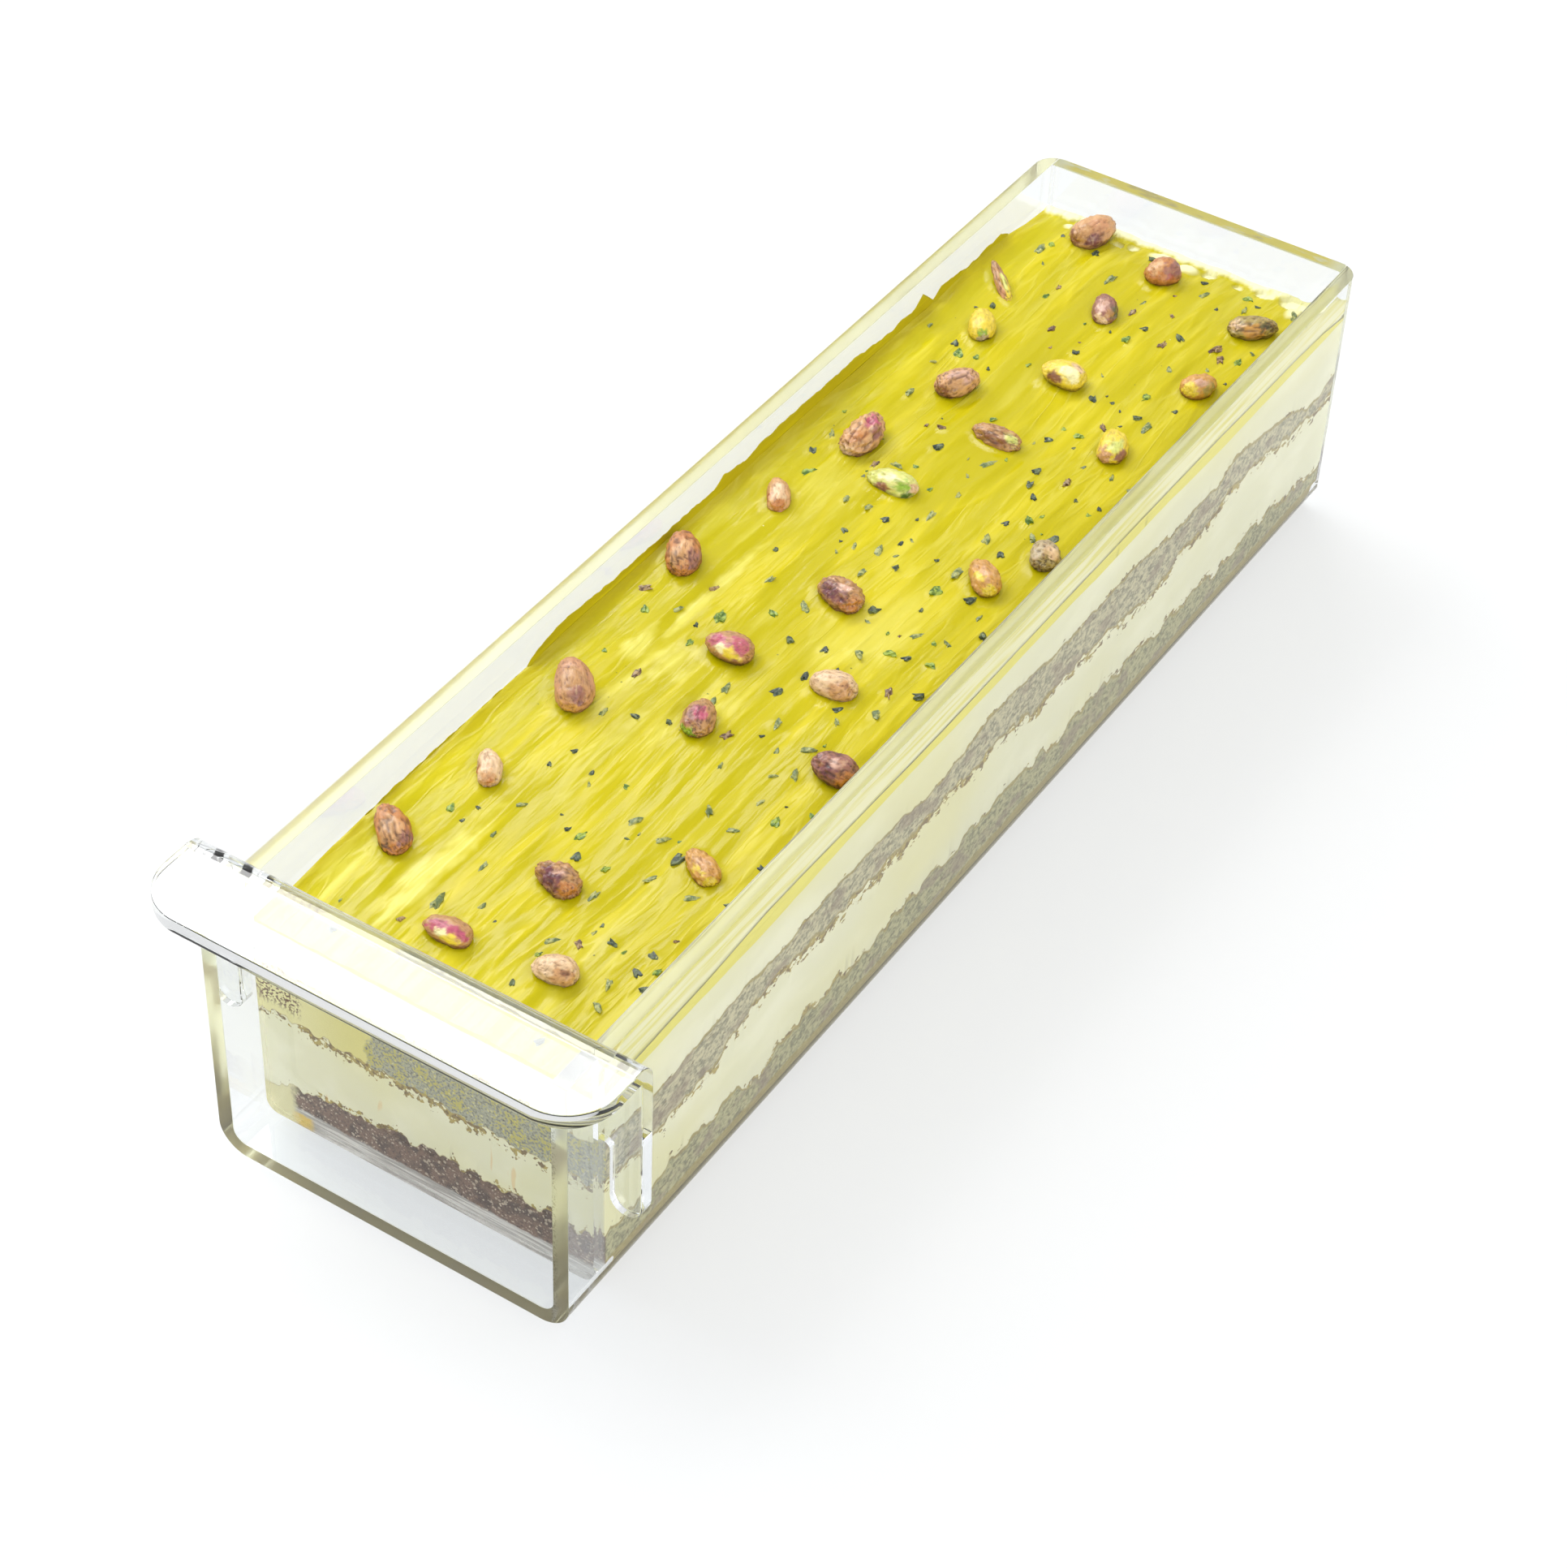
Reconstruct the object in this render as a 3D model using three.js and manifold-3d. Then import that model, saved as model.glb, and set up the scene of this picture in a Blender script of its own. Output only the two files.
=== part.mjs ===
// A pistachio bar cake in its own clear acrylic tray: two sponges, two creams, a spread
// pistachio glaze with chopped bits, and whole kernels on top. Millimetres, +Z up, +Y from
// the grip to the back, origin at the middle of the tray's footprint on the table. Sizes
// along the tray are counted from its front edge, and the whole is centred at the end.

import * as THREE from 'three';
import { mergeVertices } from 'three/addons/utils/BufferGeometryUtils.js';
import Module from 'manifold-3d';

const wasm = await Module();
wasm.setup();

// Tray
const TRAY_WIDTH = 120;
const TRAY_LENGTH = 450;
const TRAY_HEIGHT = 94;
const SHEET = 5;
const GAP = 0.3;
const BEND_RADIUS = 9.5;
const BACK_CORNER_RADIUS = 7.5;
const ARC_STEPS = 8;
const COARSE_ARC_STEPS = 5;

// Front panel, bent forward at the top into the grip
const PANEL_FRONT = 14;
const PANEL_BACK = PANEL_FRONT + SHEET;
const GRIP_HALF_WIDTH = 73.5;
const GRIP_FRONT = -12;
const GRIP_TOP = TRAY_HEIGHT + GAP + SHEET;
const GRIP_CORNER_RADIUS = 16;
const GRIP_BEND_RADIUS = 6;
const TAB_WIDTH = 10.2;
const TAB_BOTTOM = 40.5;
const JOINT_HEIGHT = 65;
const NOTCH_RADIUS = 2;

// The room inside the tray
const INSIDE_HALF = TRAY_WIDTH / 2 - SHEET;
const CAKE_HALF = INSIDE_HALF - GAP;
const CAKE_FRONT = PANEL_BACK + GAP;
const CAKE_BACK = TRAY_LENGTH - SHEET - GAP;
const FLOOR = SHEET + GAP;
const FOOT_RADIUS = BEND_RADIUS - SHEET - GAP;
const FOOT_CENTRE = BEND_RADIUS;

// Heights of the cake's layers along its right side: [distance from the grip end, height]
const LOWER_SPONGE_TOP = [[19, 21], [65, 23], [110, 20.5], [150, 22.5], [200, 22.5], [240, 24], [300, 23], [445, 18]];
const UPPER_SPONGE_FOOT = [[19, 43], [60, 41], [95, 50], [200, 50], [290, 47], [318, 41], [345, 48], [380, 53],
  [420, 46], [445, 45]];
const UPPER_SPONGE_TOP = [[19, 59], [45, 57], [80, 60], [120, 61], [165, 62.5], [183, 60], [210, 63.5], [235, 64.5],
  [260, 62], [300, 64], [330, 61], [358, 59], [375, 64.5], [392, 63], [412, 58], [432, 50.5], [445, 54]];
const GLAZE_FOOT = [[19, 74], [100, 75], [180, 77], [445, 76]];
const GLAZE_TOP = [[19, 76], [60, 78], [150, 79.5], [300, 79.5], [445, 79]];
const LEFT_LIP = [[19, 77], [60, 79.6], [140, 80.8], [162, 82.6], [200, 82], [240, 81.8], [290, 82.6], [345, 81.8],
  [372, 80.6], [390, 82], [415, 80.8], [432, 78], [445, 76.5]];
const RIGHT_LIP = [[19, 78], [60, 79.5], [100, 82.2], [180, 81], [260, 82], [330, 82.5], [400, 81.5], [445, 80]];
const CREAM_DIPS = [[93, 4.5, 6], [303, 3.5, 4], [331, 4.5, 4], [375, 6, 5]];


// Mean heights of those faces, and how far the right side's profile holds at the left
const LOWER_SPONGE_MEAN = 22;
const UPPER_FOOT_MEAN = 47.5;
const UPPER_SPONGE_MEAN = 61;
const GLAZE_FOOT_MEAN = 76;
const LEFT_SHARE = 0.35;
const THINNEST_SPONGE = 4.5;
const THINNEST_GLAZE = 0.8;

// The lower sponge is thinner in its front left corner
const FRONT_LEFT_DROP = 4;
const FRONT_LEFT_START = 15;
const FRONT_LEFT_REACH = 30;

// Waves that a face wanders in: [seed, reach, longest wave, number of waves]
const LOWER_SPONGE_WAVES = [11, 0.9, 120, 5];
const UPPER_FOOT_WAVES = [23, 0.8, 140, 4];
const UPPER_SPONGE_WAVES = [37, 0.7, 150, 4];
const GLAZE_FOOT_WAVES = [41, 0.3, 200, 3];
const GLAZE_WAVES = [53, 0.25, 160, 3];
const RIDGE_WAVES = [67, 1.6, 300, 3];
const WAVE_LEAN = 0.12;

// Spatula ridges, the lip at the walls and the torn edge at the back
const WIDE_RIDGE_HEIGHT = 0.34;
const WIDE_RIDGE_SPACING = 13.7;
const NARROW_RIDGE_HEIGHT = 0.26;
const NARROW_RIDGE_SPACING = 8.9;
const NARROW_RIDGE_LEAN = 70;
const RIDGE_DRIFT_ACROSS = 0.2;
const LIP_REACH = 1.6;
const TORN_DEPTH = 1.4;
const TORN_REACH = 9.5;
const SCALLOP_DEPTH = 1.2;
const SCALLOP_WIDTH = 3.1;
const SCALLOP_DRIFT = 7;

// Mesh steps of the layers and of the glaze
const LAYER_COLUMNS = 4;
const LAYER_ROWS = 40;
const GLAZE_COLUMNS = 28;
const GLAZE_ROWS = 28;
const LIP_STEPS = [0, 1.1, 3.6];
const FOOT_ARC_STEPS = 3;

// Chopped pistachio in the glaze: [across, along, length, turn in degrees]
const BIT_SEED = 907;
const BIT_RISE = 0.15;
const BIT_WIDTH_SHARES = [0.36, 0.54];
const BIT_HALF_HEIGHTS = [0.55, 0.9];
const BIT_LEAN = 0.3;
const BITS = [
  [-19.2, 50, 5.5, 8], [-17, 68.5, 4, 0], [2, 85.5, 4, 0], [14.5, 75, 5, -3], [22, 58.5, 3.5, 50],
  [24, 91, 4.5, -35], [25.5, 100.5, 6, -8], [29.5, 63.5, 3.5, 80], [39, 43, 4, 50], [37, 51, 3.5, 25],
  [41, 66, 4, 70], [-28, 157, 4.5, 0], [8.3, 150, 4, -25], [33.5, 147, 4, 15], [46.5, 110.5, 3.5, 80],
  [18, 162.5, 4.5, 10], [-22.5, 193, 6, 10], [-20, 215.5, 4, -20], [-23, 178, 3.8, -10], [-44.5, 278, 4, 35],
  [-44.5, 289.5, 4, 30], [-24.5, 283, 4, 0], [-19, 286.5, 4, 80], [-22, 263, 4, 10], [-14.5, 263.5, 3.5, 10],
  [-12.5, 302, 5, -20], [1, 235.5, 4.5, 0], [11, 198.5, 3.5, 10], [12.8, 222, 5.5, 0], [20, 202.5, 4, 50],
  [24, 241, 5, -30], [24.5, 252.5, 6, -3], [27.5, 208, 4, 85], [33, 208.5, 4, -30], [38.5, 182.5, 5, 45],
  [36.5, 192.5, 4.5, 25], [40.5, 210.5, 4, 60], [3.5, 271, 5, 0], [20.5, 301.5, 4, 10], [29, 286.5, 5, 30],
  [29.5, 309.5, 4.5, 20], [-35.5, 321.5, 5, 0], [-34, 349, 5, 15], [-42.5, 417, 5, 0], [-17, 312, 4, -70],
  [-14.5, 415.5, 6, -10], [-8.5, 435.5, 4, -60], [-3, 372.5, 4, 30], [1.5, 402, 4, -5], [6.5, 388.5, 4, -20],
  [14.3, 353, 4.5, 45], [25, 341.5, 4.5, 55], [28, 364, 4, -10], [31, 352.5, 4, -40], [33.5, 401.5, 5, 0],
  [28.5, 434, 4, 70], [31, 426.5, 4, 10], [36, 350, 6, 0], [37.5, 397, 4.5, 20], [43, 398.5, 4, 0],
];

// Whole kernels: [across, along, turn in degrees, length, width, rise of the far end, form]
const KERNEL_SINK = 1.5;
const KERNEL_RINGS = 6;
const HOLLOW_RINGS = 4;
const HOLLOW_GAP = 0.75;
const KERNEL_SIDES = 8;
const BEAK_SHARE = 0.16;
const UNDERSIDE_SHARE = 0.86;
const SEAM_SHARE = 0.9;
const SEAM_SIDE = 2;
const KERNEL_HEIGHT_SHARE = 0.84;
const TILT_LIFT_SHARE = 0.6;
const LUMPS_ROUND = 3;
const LUMP_TWIST = 2.5;
const KERNEL_SEED = 101;
const KERNEL_SEED_STEP = 17;
const KERNEL_FORMS = {
  round: { blunt: 2.3, height: KERNEL_HEIGHT_SHARE, bow: 0.4, lump: 0.05 },
  split: { blunt: 2.3, height: KERNEL_HEIGHT_SHARE, bow: 0.4, lump: 0.05 },
  shrivelled: { blunt: 2.3, height: KERNEL_HEIGHT_SHARE, bow: 0.4, lump: 0.13 },
  sliver: { blunt: 1.8, height: 0.95, bow: 0, lump: 0.05 },
};
const KERNELS = [
  [-31.7, 434.6, -21, 17.4, 12.2, 6, 'round'],
  [-0.6, 426.7, 26, 12.4, 11.6, 2, 'round'],
  [-41.6, 389.8, 50, 19.0, 4.4, 18, 'sliver'],
  [-6.5, 397.1, 27, 14.9, 8.7, 2, 'round'],
  [-34.7, 364.9, 29, 15.2, 9.2, 4, 'split'],
  [39.1, 416.3, -56, 16.6, 9.8, 3, 'shrivelled'],
  [-24.0, 332.2, -27, 15.8, 10.7, 3, 'round'],
  [1.8, 355.4, 91, 15.5, 11.4, 0, 'split'],
  [39.7, 377.4, -25, 12.8, 9.9, 2, 'split'],
  [-34.5, 291.2, 1, 19.4, 11.0, 6, 'round'],
  [0.1, 316.3, 88, 17.1, 8.1, 0, 'shrivelled'],
  [32.8, 331.7, 20, 15.5, 9.7, 4, 'split'],
  [-14.0, 276.3, 92, 17.1, 9.8, 0, 'split'],
  [-40.1, 250.6, 33, 15.3, 7.7, 4, 'round'],
  [42.8, 272.0, 29, 12.2, 9.6, 2, 'shrivelled'],
  [33.1, 252.1, 45, 15.5, 9.5, 2, 'split'],
  [-46.4, 207.9, 32, 17.5, 11.1, 8, 'round'],
  [2.2, 220.3, 77, 15.7, 10.6, 2, 'round'],
  [-10.6, 179.8, 93, 15.7, 10.8, 0, 'split'],
  [23.0, 183.9, 99, 14.6, 10.4, 0, 'round'],
  [-37.8, 138.8, 40, 19.6, 11.9, 9, 'round'],
  [-0.4, 149.4, 19, 14.0, 10.1, 3, 'shrivelled'],
  [-38.5, 99.0, 37, 13.9, 7.6, 4, 'round'],
  [42.9, 153.0, 88, 14.4, 10.9, 2, 'round'],
  [-45.2, 63.3, 51, 17.6, 10.0, 8, 'round'],
  [33.3, 100.4, 60, 14.4, 8.0, 2, 'split'],
  [3.8, 73.9, 81, 14.2, 9.8, 3, 'round'],
  [-9.2, 41.5, 92, 15.4, 9.0, 0, 'split'],
  [23.4, 45.6, 105, 13.3, 9.4, 0, 'round'],
];

// Finishes: colour, roughness, metalness
const ACRYLIC = [0xe9efe6, 0.05, 0];
const SPONGE = [0x9c9873, 0.95, 0];
const BROWN_SPONGE = [0x8d7c62, 0.95, 0];
const CREAM = [0xe0e2c0, 0.55, 0];
const GLAZE = [0xd6cc2c, 0.3, 0];
const KERNEL_COLOURS = { round: 0xb08a62, split: 0xc9c455, shrivelled: 0xa79a66, sliver: 0xb7b85c };
const KERNEL_ROUGHNESS = 0.6;

// Deterministic random numbers, one stream for each seed.
function randomStream(seed) {
  let state = seed;
  return () => {
    state = (state * 1664525 + 1013904223) % 4294967296;
    return state / 4294967296;
  };
}

// A height read off a profile of [distance, height] knots, eased from knot to knot.
function profile(knots, along) {
  if (along <= knots[0][0]) return knots[0][1];
  for (let i = 1; i < knots.length; i += 1) {
    const [end, endHeight] = knots[i];
    if (along <= end) {
      const [start, startHeight] = knots[i - 1];
      const eased = THREE.MathUtils.smoothstep(along, start, end);
      return THREE.MathUtils.lerp(startHeight, endHeight, eased);
    }
  }
  return knots[knots.length - 1][1];
}

// A sum of sine waves that wanders over the cake by about plus or minus reach.
function wander([seed, reach, longest, count]) {
  const random = randomStream(seed);
  const waves = [];
  for (let i = 0; i < count; i += 1) {
    waves.push({
      height: reach / Math.sqrt(i + 1),
      alongRate: (2 * Math.PI * (i + 1 + random())) / longest,
      acrossRate: (random() - 0.5) * WAVE_LEAN * (i + 1),
      phase: random() * 2 * Math.PI,
    });
  }
  return (across, along) => {
    let sum = 0;
    for (const wave of waves) {
      sum += wave.height * Math.sin(along * wave.alongRate + across * wave.acrossRate + wave.phase);
    }
    return sum;
  };
}

const lowerWander = wander(LOWER_SPONGE_WAVES);
const footWander = wander(UPPER_FOOT_WAVES);
const topWander = wander(UPPER_SPONGE_WAVES);
const creamWander = wander(GLAZE_FOOT_WAVES);
const glazeWander = wander(GLAZE_WAVES);
const ridgeDrift = wander(RIDGE_WAVES);

// How strongly the right side's profile rules at a point: fully there, less to the left.
function rightSide(across) {
  const toRight = THREE.MathUtils.smoothstep(across, -CAKE_HALF, CAKE_HALF / 2);
  return THREE.MathUtils.lerp(LEFT_SHARE, 1, toRight);
}

function layerHeight(knots, mean, drift, across, along) {
  const lift = (profile(knots, along) - mean) * rightSide(across);
  return mean + lift + drift(across, along);
}

function lowerSpongeTop(across, along) {
  let height = layerHeight(LOWER_SPONGE_TOP, LOWER_SPONGE_MEAN, lowerWander, across, along);
  for (const [at, depth, width] of CREAM_DIPS) {
    const distance = (along - at) / width;
    height -= depth * rightSide(across) * Math.exp(-distance * distance);
  }
  const frontLeft = THREE.MathUtils.smoothstep(-across, FRONT_LEFT_START, CAKE_HALF);
  return height - FRONT_LEFT_DROP * frontLeft * Math.exp(-(along - CAKE_FRONT) / FRONT_LEFT_REACH);
}

function upperSpongeFoot(across, along) {
  return layerHeight(UPPER_SPONGE_FOOT, UPPER_FOOT_MEAN, footWander, across, along);
}

function upperSpongeTop(across, along) {
  const height = layerHeight(UPPER_SPONGE_TOP, UPPER_SPONGE_MEAN, topWander, across, along);
  return Math.max(height, upperSpongeFoot(across, along) + THINNEST_SPONGE);
}

function glazeFoot(across, along) {
  return layerHeight(GLAZE_FOOT, GLAZE_FOOT_MEAN, creamWander, across, along);
}

// Spatula ridges that run along the cake and meander a little.
function ridges(across, along) {
  const turns = 2 * Math.PI * (across + ridgeDrift(across * RIDGE_DRIFT_ACROSS, along));
  const wide = WIDE_RIDGE_HEIGHT * Math.sin(turns / WIDE_RIDGE_SPACING);
  const narrow = NARROW_RIDGE_HEIGHT * Math.sin(turns / NARROW_RIDGE_SPACING + along / NARROW_RIDGE_LEAN);
  return wide + narrow;
}

// The glaze's top: level and ridged in the middle, a lip up each wall, torn at the back.
function glazeTop(across, along) {
  const lip = across < 0 ? profile(LEFT_LIP, along) : profile(RIGHT_LIP, along);
  const fromWall = CAKE_HALF - Math.abs(across);
  const wallPull = Math.exp(-fromWall / LIP_REACH);
  const level = profile(GLAZE_TOP, along) + glazeWander(across, along) + ridges(across, along);
  const fromBack = (CAKE_BACK - along) / TORN_REACH;
  const scallop = (1 + Math.sin(across / SCALLOP_WIDTH + Math.sin(across / SCALLOP_DRIFT))) / 2;
  const torn = (TORN_DEPTH + SCALLOP_DEPTH * scallop) * Math.exp(-fromBack * fromBack);
  const height = THREE.MathUtils.lerp(level, lip, wallPull) - torn;
  return Math.max(height, glazeFoot(across, along) + THINNEST_GLAZE);
}

// Solids and geometry

function solidOf(geometry) {
  const bare = geometry.clone();
  bare.deleteAttribute('normal');
  bare.deleteAttribute('uv');
  const merged = mergeVertices(bare, 1e-4);
  const vertProperties = new Float32Array(merged.attributes.position.array);
  const triVerts = new Uint32Array(merged.index.array);
  return new wasm.Manifold(new wasm.Mesh({ numProp: 3, vertProperties, triVerts }));
}

function geometryOf(solid) {
  const mesh = solid.getMesh();
  const geometry = new THREE.BufferGeometry();
  geometry.setAttribute('position', new THREE.BufferAttribute(new Float32Array(mesh.vertProperties), 3));
  geometry.setIndex(new THREE.BufferAttribute(new Uint32Array(mesh.triVerts), 1));
  geometry.computeVertexNormals();
  return geometry;
}

function trianglesGeometry(triangles) {
  const positions = triangles.flat().flatMap((p) => [p.x, p.y, p.z]);
  const geometry = new THREE.BufferGeometry();
  geometry.setAttribute('position', new THREE.Float32BufferAttribute(positions, 3));
  geometry.computeVertexNormals();
  return geometry;
}

function extruded(shape, depth, curveSegments) {
  return new THREE.ExtrudeGeometry(shape, { depth, steps: 1, bevelEnabled: false, curveSegments });
}

// A shape drawn as seen from the grip end, x across and y up, from one distance to another.
function alongLength(shape, start, end, curveSegments = ARC_STEPS) {
  const geometry = extruded(shape, end - start, curveSegments);
  geometry.rotateX(Math.PI / 2);
  geometry.translate(0, end, 0);
  return geometry;
}

// A shape drawn from the right side, x along the length and y up, centred across the tray.
function acrossWidth(shape, halfWidth, curveSegments = ARC_STEPS) {
  const geometry = extruded(shape, 2 * halfWidth, curveSegments);
  const turn = new THREE.Matrix4().makeBasis(
    new THREE.Vector3(0, 1, 0),
    new THREE.Vector3(0, 0, 1),
    new THREE.Vector3(1, 0, 0),
  );
  geometry.applyMatrix4(turn);
  geometry.translate(-halfWidth, 0, 0);
  return geometry;
}

// A shape drawn from above, x across and y along, from one height to another.
function upFrom(shape, low, high, curveSegments = ARC_STEPS) {
  const geometry = extruded(shape, high - low, curveSegments);
  geometry.translate(0, 0, low);
  return geometry;
}

function box(minX, maxX, minY, maxY, minZ, maxZ) {
  const geometry = new THREE.BoxGeometry(maxX - minX, maxY - minY, maxZ - minZ);
  geometry.translate((minX + maxX) / 2, (minY + maxY) / 2, (minZ + maxZ) / 2);
  return geometry;
}

function namedMesh(name, geometry, [color, roughness, metalness]) {
  const material = new THREE.MeshStandardMaterial({ color, roughness, metalness });
  const mesh = new THREE.Mesh(geometry, material);
  mesh.name = name;
  return mesh;
}

// An upright outline with a flat top and rounded bottom corners.
function roundFootShape(halfWidth, low, high, radius) {
  const shape = new THREE.Shape();
  shape.moveTo(-halfWidth, high);
  shape.lineTo(-halfWidth, low + radius);
  shape.absarc(-halfWidth + radius, low + radius, radius, Math.PI, 1.5 * Math.PI);
  shape.lineTo(halfWidth - radius, low);
  shape.absarc(halfWidth - radius, low + radius, radius, 1.5 * Math.PI, 2 * Math.PI);
  shape.lineTo(halfWidth, high);
  return shape;
}

// Floor and side walls in one bent sheet, slotted near the front for the panel.
function channelGeometry() {
  const half = TRAY_WIDTH / 2;
  const outside = solidOf(alongLength(roundFootShape(half, 0, TRAY_HEIGHT, BEND_RADIUS), 0, TRAY_LENGTH));
  const room = roundFootShape(INSIDE_HALF, SHEET, TRAY_HEIGHT + SHEET, BEND_RADIUS - SHEET);
  let channel = outside.subtract(solidOf(alongLength(room, -SHEET, TRAY_LENGTH + SHEET)));
  for (const side of [-1, 1]) {
    const near = side * (INSIDE_HALF - SHEET);
    const far = side * (half + SHEET);
    const slot = box(Math.min(near, far), Math.max(near, far), PANEL_FRONT - GAP, PANEL_BACK + GAP,
      JOINT_HEIGHT, TRAY_HEIGHT + SHEET);
    channel = channel.subtract(solidOf(slot));
  }
  return geometryOf(channel.intersect(roundedBack()));
}

// All that is inside the tray's plan: square at the front, rounded at the two back corners.
function roundedBack() {
  const shape = new THREE.Shape();
  const half = TRAY_WIDTH / 2;
  const radius = BACK_CORNER_RADIUS;
  shape.moveTo(-half, -SHEET);
  shape.lineTo(half, -SHEET);
  shape.lineTo(half, TRAY_LENGTH - radius);
  shape.absarc(half - radius, TRAY_LENGTH - radius, radius, 0, Math.PI / 2);
  shape.lineTo(-half + radius, TRAY_LENGTH);
  shape.absarc(-half + radius, TRAY_LENGTH - radius, radius, Math.PI / 2, Math.PI);
  return solidOf(upFrom(shape, -SHEET, TRAY_HEIGHT + SHEET));
}

function backWallGeometry() {
  const shape = roundFootShape(CAKE_HALF, FLOOR, TRAY_HEIGHT, FOOT_RADIUS);
  const plate = solidOf(alongLength(shape, TRAY_LENGTH - SHEET, TRAY_LENGTH));
  return geometryOf(plate.intersect(roundedBack()));
}

// The panel's section from the side: upright sheet, bend and forward grip.
function gripSection() {
  const bend = GRIP_BEND_RADIUS;
  const inner = bend - SHEET;
  const shape = new THREE.Shape();
  shape.moveTo(PANEL_BACK, FLOOR);
  shape.lineTo(PANEL_BACK, GRIP_TOP - bend);
  shape.absarc(PANEL_BACK - bend, GRIP_TOP - bend, bend, 0, Math.PI / 2);
  shape.lineTo(GRIP_FRONT, GRIP_TOP);
  shape.lineTo(GRIP_FRONT, GRIP_TOP - SHEET);
  shape.lineTo(PANEL_FRONT - inner, GRIP_TOP - SHEET);
  shape.absarc(PANEL_FRONT - inner, GRIP_TOP - bend, inner, Math.PI / 2, 0, true);
  shape.lineTo(PANEL_FRONT, FLOOR);
  return shape;
}

// The panel from the front: between the walls low down, with a tab outside each wall.
function panelOutline() {
  const tabInner = GRIP_HALF_WIDTH - TAB_WIDTH;
  const tabRadius = TAB_WIDTH / 2;
  const notchTop = JOINT_HEIGHT + GAP;
  const above = GRIP_TOP + SHEET;
  const outline = roundFootShape(CAKE_HALF, FLOOR, notchTop, FOOT_RADIUS);
  const shape = new THREE.Shape();
  shape.moveTo(-GRIP_HALF_WIDTH, above);
  shape.lineTo(-GRIP_HALF_WIDTH, TAB_BOTTOM + tabRadius);
  shape.absarc(-GRIP_HALF_WIDTH + tabRadius, TAB_BOTTOM + tabRadius, tabRadius, Math.PI, 2 * Math.PI);
  shape.lineTo(-tabInner, notchTop - NOTCH_RADIUS);
  shape.absarc(-tabInner + NOTCH_RADIUS, notchTop - NOTCH_RADIUS, NOTCH_RADIUS, Math.PI, Math.PI / 2, true);
  for (const point of outline.getPoints(COARSE_ARC_STEPS)) shape.lineTo(point.x, point.y);
  shape.lineTo(tabInner - NOTCH_RADIUS, notchTop);
  shape.absarc(tabInner - NOTCH_RADIUS, notchTop - NOTCH_RADIUS, NOTCH_RADIUS, Math.PI / 2, 0, true);
  shape.lineTo(tabInner, TAB_BOTTOM + tabRadius);
  shape.absarc(GRIP_HALF_WIDTH - tabRadius, TAB_BOTTOM + tabRadius, tabRadius, Math.PI, 2 * Math.PI);
  shape.lineTo(GRIP_HALF_WIDTH, above);
  return shape;
}

// The grip from above, with its two front corners rounded.
function gripPlan() {
  const radius = GRIP_CORNER_RADIUS;
  const half = GRIP_HALF_WIDTH;
  const shape = new THREE.Shape();
  shape.moveTo(-half, PANEL_BACK + SHEET);
  shape.lineTo(-half, GRIP_FRONT + radius);
  shape.absarc(-half + radius, GRIP_FRONT + radius, radius, Math.PI, 1.5 * Math.PI);
  shape.lineTo(half - radius, GRIP_FRONT);
  shape.absarc(half - radius, GRIP_FRONT + radius, radius, 1.5 * Math.PI, 2 * Math.PI);
  shape.lineTo(half, PANEL_BACK + SHEET);
  return shape;
}

function panelGeometry() {
  const bent = solidOf(acrossWidth(gripSection(), GRIP_HALF_WIDTH, COARSE_ARC_STEPS));
  const outline = alongLength(panelOutline(), GRIP_FRONT - SHEET, PANEL_BACK + SHEET, COARSE_ARC_STEPS);
  const plan = upFrom(gripPlan(), 0, GRIP_TOP + SHEET);
  return geometryOf(bent.intersect(solidOf(outline)).intersect(solidOf(plan)));
}

// Layers

function evenSteps(start, end, count) {
  const steps = [];
  for (let i = 0; i <= count; i += 1) steps.push(start + ((end - start) * i) / count);
  return steps;
}

const LAYER_X = evenSteps(-CAKE_HALF, CAKE_HALF, LAYER_COLUMNS);
const LAYER_Y = evenSteps(CAKE_FRONT, CAKE_BACK, LAYER_ROWS);

// A sheet of points, one for each column and row, at the heights of a function.
function sheetPoints(xs, ys, height) {
  return xs.map((x) => ys.map((y) => new THREE.Vector3(x, y, height(x, y))));
}

// Triangles over a sheet, facing up or down, always split along the same diagonal.
function coverSheet(triangles, sheet, up) {
  for (let i = 1; i < sheet.length; i += 1) {
    for (let j = 1; j < sheet[i].length; j += 1) {
      const a = sheet[i - 1][j - 1];
      const b = sheet[i][j - 1];
      const c = sheet[i][j];
      const d = sheet[i - 1][j];
      if (up) triangles.push([a, b, c], [a, c, d]);
      else triangles.push([a, c, b], [a, d, c]);
    }
  }
}

// A flat wall between the lower and the upper edge line, seen with its outside in front.
function coverWall(triangles, lower, upper, flatten) {
  const outline = [...lower, ...upper.slice().reverse()];
  const flat = outline.map(flatten);
  for (const [a, b, c] of THREE.ShapeUtils.triangulateShape(flat, [])) {
    triangles.push([outline[a], outline[b], outline[c]]);
  }
}

function edgeLines(sheet) {
  const last = sheet[0].length - 1;
  return {
    front: sheet.map((column) => column[0]),
    back: sheet.map((column) => column[last]).reverse(),
    right: sheet[sheet.length - 1],
    left: sheet[0].slice().reverse(),
  };
}

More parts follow.
